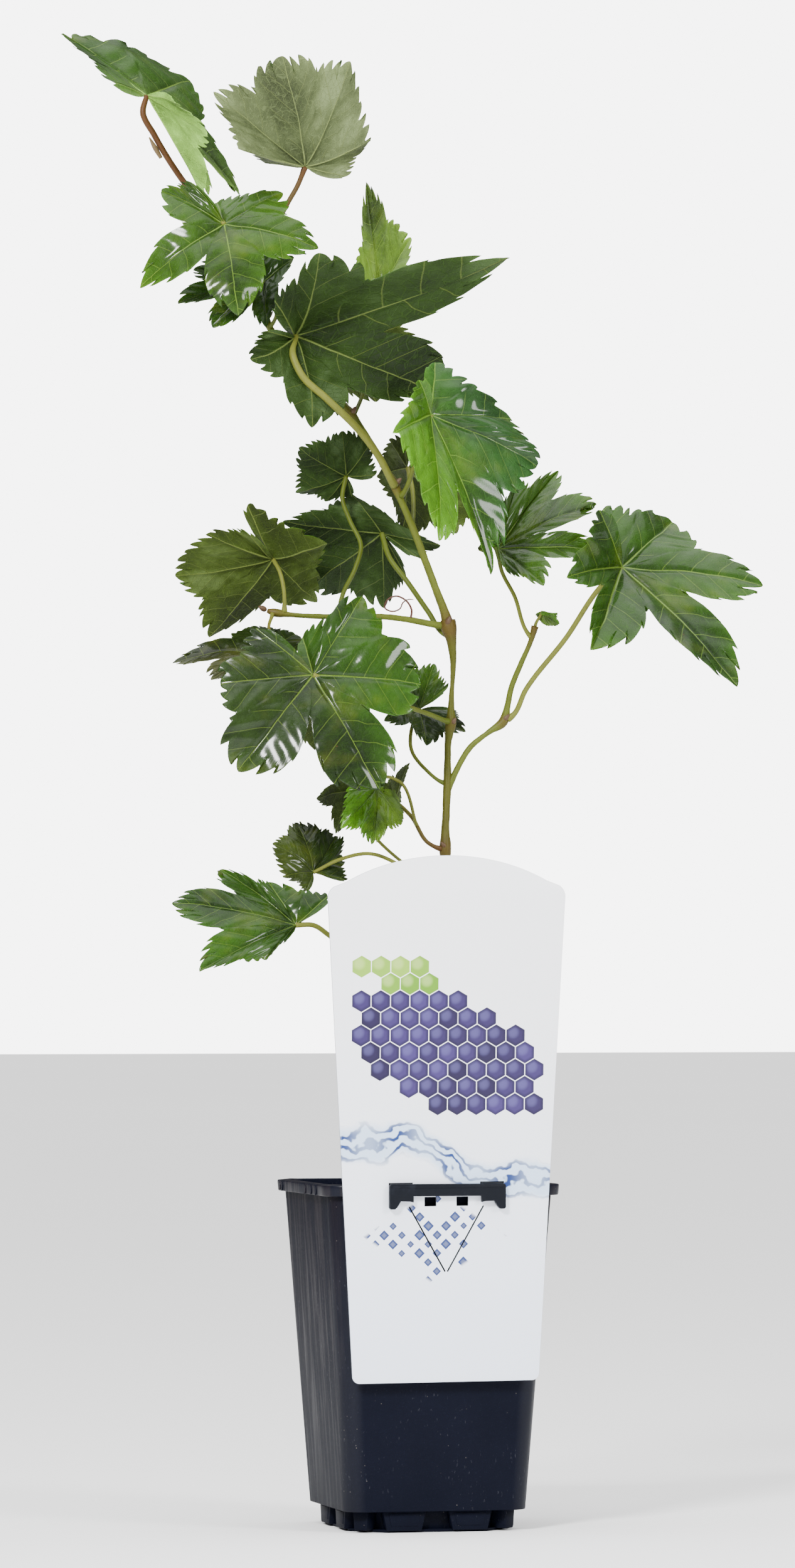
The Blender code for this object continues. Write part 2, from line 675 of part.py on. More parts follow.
def tapered_box(foot_half, top_half, low, high, corner, steps):
    """A square block that widens upward, its upright edges rounded."""
    bpy.ops.mesh.primitive_cube_add(size=2)
    box = bpy.context.object
    for vert in box.data.vertices:
        top = vert.co.z > 0
        half = top_half if top else foot_half
        vert.co = Vector((vert.co.x * half, vert.co.y * half, high if top else low)) * MM
    bm = bmesh.new()
    bm.from_mesh(box.data)
    upright = [e for e in bm.edges if abs(e.verts[0].co.z - e.verts[1].co.z) > 0.5 * (high - low) * MM]
    bmesh.ops.bevel(bm, geom=upright, offset=corner * MM, segments=steps, profile=0.5, affect="EDGES")
    bm.to_mesh(box.data)
    bm.free()
    return applied(box)


def block(x0, x1, y0, y1, z0, z1):
    bpy.ops.mesh.primitive_cube_add(size=2)
    box = bpy.context.object
    for vert in box.data.vertices:
        vert.co = Vector((x1 if vert.co.x > 0 else x0, y1 if vert.co.y > 0 else y0, z1 if vert.co.z > 0 else z0)) * MM
    return applied(box)


def lug(turn, middle):
    """A trapezoid foot standing out of the plinth under the pot's body."""
    bpy.ops.mesh.primitive_cube_add(size=2)
    box = bpy.context.object
    for vert in box.data.vertices:
        top = vert.co.z > 0
        half = LUG_TOP_HALF if top else LUG_FOOT_HALF
        near = LUG_TOP_OUT if top else LUG_FOOT_OUT
        depth = near if vert.co.y < 0 else LUG_BACK
        vert.co = Vector((middle + vert.co.x * half, -depth, LUG_HIGH if top else LUG_LOW)) * MM
    box.data.transform(Matrix.Rotation(turn, 4, "Z"))
    return applied(box)


def pot(home, paint):
    rim_foot = POT_HEIGHT - RIM_DEEP
    body = tapered_box(BODY_FOOT_HALF, BODY_TOP_HALF, PLINTH_HIGH, rim_foot + OVERLAP, CORNER, 5)
    rim = tapered_box(RIM_HALF - RIM_DRAW, RIM_HALF, rim_foot, POT_HEIGHT, RIM_CORNER, 5)
    plinth = tapered_box(PLINTH_HALF - PLINTH_DRAW, PLINTH_HALF, SOLE_HIGH / 2, PLINTH_HIGH + OVERLAP, RIM_CORNER, 1)
    sole = tapered_box(SOLE_HALF - SOLE_DRAW, SOLE_HALF, 0.0, SOLE_HIGH, SOLE_CORNER, 1)
    lugs = [lug(math.radians(90 * side), middle) for side in range(4) for middle in (-LUG_AT, LUG_AT)]
    whole = combine(body, [rim, plinth, sole] + lugs)
    low = PLINTH_HIGH + FLOOR
    slope = (BODY_TOP_HALF - BODY_FOOT_HALF) / (POT_HEIGHT - RIM_DEEP - PLINTH_HIGH)
    foot_half = BODY_FOOT_HALF + slope * FLOOR - WALL
    top_half = foot_half + slope * (POT_HEIGHT + 2 - low)
    hollow = tapered_box(foot_half, top_half, low, POT_HEIGHT + 2, CORNER - WALL, 5)
    return keep(home, "pot", tidy(combine(whole, [hollow], "DIFFERENCE")), paint)


def soil(home, paint):
    """The filling, a touch clear of the pot, its top slightly uneven."""
    low = PLINTH_HIGH + FLOOR + GAP
    slope = (BODY_TOP_HALF - BODY_FOOT_HALF) / (POT_HEIGHT - RIM_DEEP - PLINTH_HIGH)
    foot_half = BODY_FOOT_HALF + slope * FLOOR - WALL - GAP
    top_half = foot_half + slope * (SOIL_TOP - SOIL_EDGE - low)
    mesh = tapered_box(foot_half, top_half, low, SOIL_TOP - SOIL_EDGE, CORNER - WALL, 5)
    bm = bmesh.new()
    bm.from_mesh(mesh)
    lid = [f for f in bm.faces if f.normal.z > 0.9]
    bmesh.ops.inset_region(bm, faces=lid, thickness=SOIL_SLOPE * MM)
    for face in [f for f in bm.faces if f.normal.z > 0.9 and len(f.verts) > 4]:
        for vert in face.verts:
            vert.co.z = SOIL_TOP * MM
    bm.to_mesh(mesh)
    bm.free()
    return keep(home, "soil", tidy(mesh), paint)


def slab(outline, thick):
    """A flat plate with the given front outline, its back on y = 0."""
    curve = bpy.data.curves.new("outline", "CURVE")
    curve.dimensions = "2D"
    curve.fill_mode = "BOTH"
    curve.extrude = thick * MM / 2
    line = curve.splines.new("POLY")
    line.use_cyclic_u = True
    line.points.add(len(outline) - 1)
    for point, (x, z) in zip(line.points, outline):
        point.co = (x * MM, z * MM, 0.0, 1.0)
    thing = bpy.data.objects.new("outline", curve)
    bpy.context.scene.collection.objects.link(thing)
    mesh = applied(thing)
    bpy.data.curves.remove(curve)
    mesh.transform(Matrix.Translation((0, -thick * MM / 2, 0)) @ Matrix.Rotation(math.radians(90), 4, "X"))
    return mesh


def arc(x, z, radius, start, stop, steps):
    places = []
    for i in range(steps + 1):
        a = math.radians(start + (stop - start) * i / steps)
        places.append((x + radius * math.cos(a), z + radius * math.sin(a)))
    return places


def label_outline():
    """Arched head, straight sides that draw in a little, rounded foot."""
    foot, head = LABEL_FOOT, LABEL_TOP
    edge = arc(LABEL_FOOT_HALF - 4, foot + 4, 4, -90, 0, 3)
    edge += arc(LABEL_TOP_HALF - 7, head - 22, 7, 0, 60, 3)
    edge += [(50, head - 11.5), (34, head - 5), (17, head - 1.2), (0, head)]
    return edge + [(-x, z) for x, z in reversed(edge[:-1])]


def leaned(mesh):
    """Sets a plate drawn upright onto the pot's front, leaning out with it and a little askew."""
    pivot = Matrix.Translation((0, -LABEL_FRONT * MM, POT_HEIGHT * MM))
    lean = Matrix.Rotation(LABEL_LEAN, 4, "X") @ Matrix.Rotation(LABEL_SKEW, 4, "Y")
    mesh.transform(pivot @ lean @ Matrix.Translation((0, 0, -POT_HEIGHT * MM)))
    return mesh


def tongue_cuts():
    """The slit round the label's pointed tongue, as two strokes that meet in a rounded tip."""
    cuts = []
    for side in (-1, 1):
        stroke = block(-SLIT / 2, SLIT / 2, -4, 4, 0, TONGUE_LONG)
        stroke.transform(Matrix.Rotation(side * TONGUE_SLANT, 4, "Y"))
        stroke.transform(Matrix.Translation((side * 0.6 * MM, 0, TONGUE_TIP * MM)))
        cuts.append(stroke)
    return cuts


def label(home, paint):
    plate = slab(label_outline(), LABEL_THICK)
    cuts = [block(x - ARM_HALF - 0.7, x + ARM_HALF + 0.7, -4, 4, POT_HEIGHT - 0.1, POT_HEIGHT + 1.7) for x in ARM_AT]
    cuts += [block(x - 3.2, x + 3.2, -4, 4, 171.9, 176.8) for x in (-8.6, 8.6)]
    plate = combine(plate, cuts, "DIFFERENCE")
    plate = combine(plate, tongue_cuts(), "DIFFERENCE")
    return keep(home, "label", tidy(leaned(plate)), paint)


def label_holder(home, paint):
    """A moulded clip: a bar with two legs before the label, and two arms over the rim."""
    top = POT_HEIGHT + 0.8
    half = [(0, top), (30.2, top), (31.3, top - 1.1), (31.3, top - 12.4), (30.4, top - 13.2), (28.4, top - 13.2),
            (27.2, top - 12.2), (25.2, top - 9.0), (20.2, top - 9.2), (18.4, top - 9.6), (18.4, top - 6.4),
            (0, top - 6.4)]
    edge = half + [(-x, z) for x, z in reversed(half[1:-1])]
    front = slab(edge, 3.2)
    ahead = LABEL_FRONT + LABEL_THICK + GAP + 0.1
    front.transform(Matrix.Translation((0, -ahead * MM, 0)))
    arms = []
    for x in ARM_AT:
        arms.append(block(x - ARM_HALF, x + ARM_HALF, -(ahead + 1.5), -55.0, POT_HEIGHT + GAP, POT_HEIGHT + 1.3))
        arms.append(block(x - ARM_HALF, x + ARM_HALF, -56.6, -55.0, 174.5, POT_HEIGHT + 1.0))
    return keep(home, "label_holder", tidy(combine(front, arms)), paint)


def build():
    clear()
    home = collection("grapevine")
    green_stem = material("green_stem", (0.20, 0.30, 0.06), 0.55)
    brown_stem = material("brown_stem", (0.24, 0.15, 0.08), 0.8)
    deep = material("leaf_deep_green", (0.05, 0.14, 0.03), 0.4)
    fresh = material("leaf_fresh_green", (0.20, 0.38, 0.06), 0.45)
    pot(home, material("pot_black", (0.012, 0.013, 0.018), 0.35))
    soil(home, material("soil_brown", (0.03, 0.02, 0.014), 0.95))
    label(home, material("label_white", (0.85, 0.86, 0.88), 0.4))
    label_holder(home, material("holder_black", (0.015, 0.016, 0.018), 0.4))
    main = smooth(MAIN_STEM, 2)
    limbs = {
        "main": main,
        "upper": tip_limb(UPPER_SHOOT, main),
        "left": side_limb(LEFT_SHOOT, main),
        "right": side_limb(RIGHT_SHOOT, main),
    }
    keep(home, "main_stem", tube(main, 8), brown_stem)
    for side in ("upper", "left", "right"):
        keep(home, side + "_shoot", tube(limbs[side], 8), green_stem)
    light = ("leaf_bright", "leaf_small_bright", "leaf_front_right", "leaf_left", "leaf_bud")
    for name, (limb, places, radii) in STALKS.items():
        if name == "leaf_small_bright":
            continue
        second = "leaf_small_bright" if name == "leaf_small_grey" else None
        leaf(home, name, limbs[limb], places, radii, fresh if name in light else deep, second)


build()
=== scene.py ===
"""A young grapevine in a tall square nursery pot, with its care label.

Lengths are millimetres and colours are linear. The vine is drawn as it is seen when
turned a little: x to the right, y away, z up, before TURN sets it into the frame.
"""
import math
import random

import bmesh
import bpy
import numpy as np
from mathutils import Matrix, Vector, noise


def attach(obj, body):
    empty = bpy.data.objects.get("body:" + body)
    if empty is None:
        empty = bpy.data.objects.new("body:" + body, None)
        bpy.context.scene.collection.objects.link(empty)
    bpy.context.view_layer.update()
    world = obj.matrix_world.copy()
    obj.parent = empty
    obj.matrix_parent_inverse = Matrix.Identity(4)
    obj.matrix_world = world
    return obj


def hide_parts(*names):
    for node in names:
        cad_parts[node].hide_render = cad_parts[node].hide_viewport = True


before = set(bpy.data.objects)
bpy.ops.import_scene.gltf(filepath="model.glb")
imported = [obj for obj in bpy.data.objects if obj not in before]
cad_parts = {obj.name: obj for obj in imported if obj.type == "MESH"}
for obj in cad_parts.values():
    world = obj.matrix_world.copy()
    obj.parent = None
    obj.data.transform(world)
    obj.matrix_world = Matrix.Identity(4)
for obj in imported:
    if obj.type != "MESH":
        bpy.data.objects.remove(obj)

MM = 0.001
TURN = math.radians(-13.5)
VINE_ASIDE = Vector((1.2, 0, 0))
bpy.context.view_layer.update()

# Pot: heights above the floor, and half widths
POT_HEIGHT = 182.8
RIM_HALF = 64.3
RIM_DEEP = 5.8
RIM_INSIDE = 58.3
RIM_CORNER = 13.0
BODY_TOP_HALF = 60.4
BODY_FOOT_HALF = 49.2
CORNER = 11.0
CORNER_STEPS = 10
WALL = 2.2
PLINTH_FOOT = 0.8
PLINTH_HIGH = 11.2
PLINTH_HALF = 41.0
SOLE_HALF = 44.0
SOLE_HIGH = 1.6
SOLE_CORNER = 15.0
# Blocks of the foot: half width, front, back, low, high and how much narrower below
LUGS_AT = (-17.8, 17.8)
LUG = (12, -46.0, -36.0, 1.0, 12.2, 0.78)
PANEL = (8.6, -46.3, -45.6, 3.4, 10.2, 0.84)
FOOT_CORNER = (4.6, -57.2, -46.0, 1.2, 11.6, 0.86)
# Crescents on the lip: places along a side, radius, half their thickness, cut and seat
MOULD_MARKS = (48.6, 42.4, -13.0, -27.0, -38.3)
MARK_RADIUS = 2.3
MARK_THICK = 0.42
MARK_CUT = 0.4
MARK_SUNK = 0.12

# Soil
SOIL_TOP = 172.0
SOIL_HALF = 57.0
SOIL_CORNER = 9.0
SOIL_THICK = 6
SOIL_GRID = 150
# Roughness of the soil, as scale and height, the mound round the stem, and where the edge falls off
SOIL_ROUGH = ((0.05, 1.6), (0.22, 0.9), (0.7, 0.55))
SOIL_BASE = -1.2
MOUND_HALF = 14
MOUND_HIGH = 1.6
EDGE_FROM = 0.85
EDGE_FALL = 9
LUMPS_SUNK = 0.9
LUMPS = 120
LUMPS_HALF = 50
PEAT = (0.012, 0.0075, 0.0045)
LUMP_SHADES = ((0.024, 0.013, 0.007), (0.012, 0.008, 0.005), (0.045, 0.026, 0.013))

# Label and holder
LABEL_THICK = 1.0
LABEL_EDGE = 0.3
LABEL_FOOT = 79.5
LABEL_TOP = 355.6
LABEL_TOP_HALF = 64.0
LABEL_FOOT_HALF = 50.4
LABEL_FRONT = 64.7
LABEL_LEAN = math.radians(2.6)
LABEL_SKEW = math.radians(-0.5)
FOOT_ROUND = 4
SHOULDER_ROUND = 7
SHOULDER_DROP = 22
SHOULDER_TURN = 58
HEAD_HALF = 54
HEAD_STEPS = 16
HEAD_BEND = 0.0041
HEAD_FALL = 150
SLIT = 0.8
TONGUE_LONG = 39.5
TONGUE_TIP = 137.5
TONGUE_SLANT = math.radians(29.5)
# Small square holes of the label: middles, half width, low and high
HOLES_AT = (-8.6, 8.6)
HOLE = (3.2, 171.9, 176.8)
CUT_DEPTH = 4
ARM_AT = (-24.6, 24.6)
ARM_HALF = 5.8
ARM_BACK = -55.0
LEG_FOOT = 174.5
CLIP_THICK = 3.2
# Right half of the clip's front: across, and down from its top
CLIP_EDGE = ((0, 0), (30.2, 0), (31.0, 0.4), (31.3, 1.1), (31.3, 12.4), (30.9, 13.0), (30.4, 13.2),
             (28.4, 13.2), (27.2, 12.2), (25.2, 9.0), (20.2, 9.2), (18.4, 9.6), (18.4, 6.4), (0, 6.4))

# Print on the label: cell sizes, half its width, and heights of the middles of its parts
CELL = 10.4
DIAMOND = 9.5
ART_HALF = 50
COMB_AT = 252
GREEN_AT = 291
WAVES_AT = 196
DIAMONDS_AT = 156

# Leaf blade: five main veins and two small ears, degrees from the midrib, and how far each reaches
LOBE_ANGLES = (-150, -104, -52, 0, 52, 104, 150)
LOBE_REACH = (0.55, 0.74, 0.90, 1.0, 0.90, 0.74, 0.55)
# The ears: their end and bay, their turn from the lowest veins and past it, and how they are set apart
EAR_END = (176, 0.10)
EAR_BAY = 0.56
EAR_TURN = 46
EAR_PAST = 26
FULL_SWEEP = 350
EAR_APART = 0.035
# How late the outline falls from a tip into a bay: ears, lobes and full lobes
EAR_BEND = 2.5
LOBE_BEND = 3
FULL_BEND = 6
FULL_BLUNT = 0.9
# Relief, as shares of the blade's size: waves round it, puffs, sunk veins, pleats and crumples
BLADE_WAVES = 5
PUFF = 0.05
WAVE = 0.03
VEIN_APART = 52
VEIN_SUNK = 0.014
VEIN_WIDE = 0.022
SIDE_VEIN_APART = 0.17
SIDE_VEIN_SLANT = 0.70
SIDE_VEIN_CURVE = 0.45
PLEAT = 0.008
# Waves of the margin: height, number round the blade, share of the phase, and reach where they start
RIM_WAVES = ((0.016, 9, 1, 0.45), (0.0035, 17, 3, 0.5))
CRUMPLES = 6
CRUMPLE = 0.022
UV_SPAN = 2.4
BLADE_THICK = 0.38
# Teeth on each side of each lobe, points along a tooth, and the share that its long back takes
TEETH = (2, 3, 2, 3, 3, 4, 4, 4, 4, 3, 3, 2, 3, 2)
TOOTH_STEPS = 7
TOOTH_BACK = 0.84
TOOTH_LEAN = 1.9
# Rings of the mesh crowd a little towards the edge, and the teeth grow from this reach on
RING_CROWD = 1.15
TEETH_FROM = 0.66
# Large leaves are finer meshes: rings from joint to edge, and how deep the teeth are
LARGE_LEAF = 40
LARGE_BLADE = (36, 0.098)
SMALL_BLADE = (20, 0.110)

# Leaf colours
DEEP = (0.013, 0.030, 0.003)
GLOSSY = (0.018, 0.056, 0.002)
BLUISH = (0.015, 0.052, 0.009)
OLIVE = (0.028, 0.046, 0.004)
MIDDLE = (0.028, 0.076, 0.003)
BRIGHT = (0.055, 0.160, 0.003)
YELLOWISH = (0.085, 0.165, 0.012)
PALE = (0.150, 0.300, 0.045)
SHEEN = (0.080, 0.104, 0.040)
REDDISH = (0.028, 0.032, 0.006)
STALK_GREEN = (0.062, 0.082, 0.007)
STALK_YELLOW = (0.120, 0.130, 0.020)
STALK_BROWN = (0.070, 0.030, 0.009)
BARK_BROWN = (0.060, 0.034, 0.012)
STEM_GREEN = (0.058, 0.062, 0.006)
BUD_BROWN = (0.060, 0.030, 0.010)
CURL_RED = (0.060, 0.018, 0.008)
BRACT_TAN = (0.110, 0.070, 0.025)

# The limbs, from foot to tip: place and radius
LIMBS = {
    "main": (
        (7, 4, 170.0, 5.4), (7, 4, 173.0, 4.6), (7, 4, 177, 3.7), (8, 5, 190, 3.1), (11, 6, 244, 2.7),
        (13, 8, 311, 2.3), (14, 8, 352, 2.1), (14, 8, 360, 2.9), (14, 8, 368, 2.1), (15, 10, 393, 2.0),
        (16, 12, 421, 2.0), (17, 12, 427, 2.7), (17, 12, 433, 1.9), (18, 12, 465, 1.9), (17, 12, 473, 2.8),
        (16, 12, 478, 4.0), (15.4, 12, 482.4, 3.6),
    ),
    "upper": (
        (15.3, 12, 481, 2.8), (13.5, 11.4, 487, 2.2), (10, 10, 496, 1.9), (4, 8, 512, 1.8),
        (-4, 6, 533, 1.8), (-10, 4.6, 547, 1.8), (-13, 4, 554, 2.4), (-17, 4.8, 561, 1.8),
        (-23, 6, 572, 1.7), (-33, 7.6, 588, 1.7), (-36, 8, 592, 2.3), (-40, 8.5, 597, 1.7),
        (-56, 10, 616, 1.6), (-73, 10, 630, 1.6), (-80, 7, 639, 1.7), (-82, 6, 643, 2.1),
        (-84, 5.6, 647, 1.6), (-95, 4, 669, 1.5), (-108, 2, 693, 1.5), (-121.5, 0, 710.5, 1.9),
    ),
    "left": (
        (14, 12, 479, 1.9), (5, 11, 480.5, 1.6), (-3, 10, 482, 1.5), (-20, 8, 484, 1.4), (-32, 8, 484, 1.4),
        (-36, 8, 484, 1.9), (-40, 7.6, 484, 1.4), (-53, 6, 484, 1.3), (-70, 4, 485, 1.3),
        (-77, 4, 486, 2.0), (-81, 4, 487, 1.0),
    ),
    "right": (
        (15, 10.5, 391, 1.8), (19, 11, 400, 1.5), (28, 14, 415, 1.4), (38, 15, 423, 1.4),
        (45, 16, 428, 2.4), (47, 15.2, 435, 1.6), (49, 14, 445, 1.4), (54, 12, 458, 1.3),
        (60, 10.4, 472, 1.3), (62, 10, 479, 1.8),
    ),
}
LIMB_STEP = 1.6
# Every limb is drawn a little stouter than its radius says
STOUT = 1.1
# The stem is bark up to here, fading to green over this height, and its nodes are brown from here up
BARK_TOP = 420
BARK_FADE = 230
NODES_FROM = 200

# Winter buds: place, direction and size
BUDS = (
    ((17.5, 10.6, 427), (0.8, -0.5, 1.0), 1.6), ((14, 6.2, 361), (-0.9, -0.5, 1.0), 1.5),
    ((15, 9.6, 480), (0.6, -0.6, 1.4), 2.0), ((-12, 3.0, 555), (0.9, -0.4, 0.9), 1.6),
    ((-35.5, 6.5, 593), (0.7, -0.6, 1.2), 1.6), ((-81, 5, 644), (0.9, -0.4, 0.8), 1.6),
    ((45.5, 14.8, 429), (0.9, -0.3, 1.0), 1.7), ((-36, 7.2, 485), (0.1, -0.5, 1.0), 1.3),
    ((-82, 3.6, 487.5), (-1.0, -0.3, 0.5), 1.7), ((-121, -0.6, 711), (0.8, -0.4, 0.9), 1.5),
)
# A dry curl beside the left shoot, and a papery bract on the top leaf's stalk: place and radius
TENDRIL = (
    (-4.5, 9.4, 482.6, 0.55), (-4.0, 8.0, 487.5, 0.5), (-7, 6.0, 492.5, 0.45), (-12.5, 5.2, 494.8, 0.42),
    (-17.2, 5.6, 492.4, 0.4), (-18.2, 6.6, 488.6, 0.38), (-14.6, 7.4, 486.8, 0.36), (-10.2, 7.6, 488.2, 0.34),
    (-8.6, 7.2, 491.4, 0.32), (-5.4, 6.4, 493.2, 0.28), (-3.0, 6.0, 493.0, 0.22),
)
BRACT = ((-137.5, -6.4, 728, 0.9), (-140.5, -8.5, 733, 1.2), (-143.6, -10.5, 738.5, 0.35))

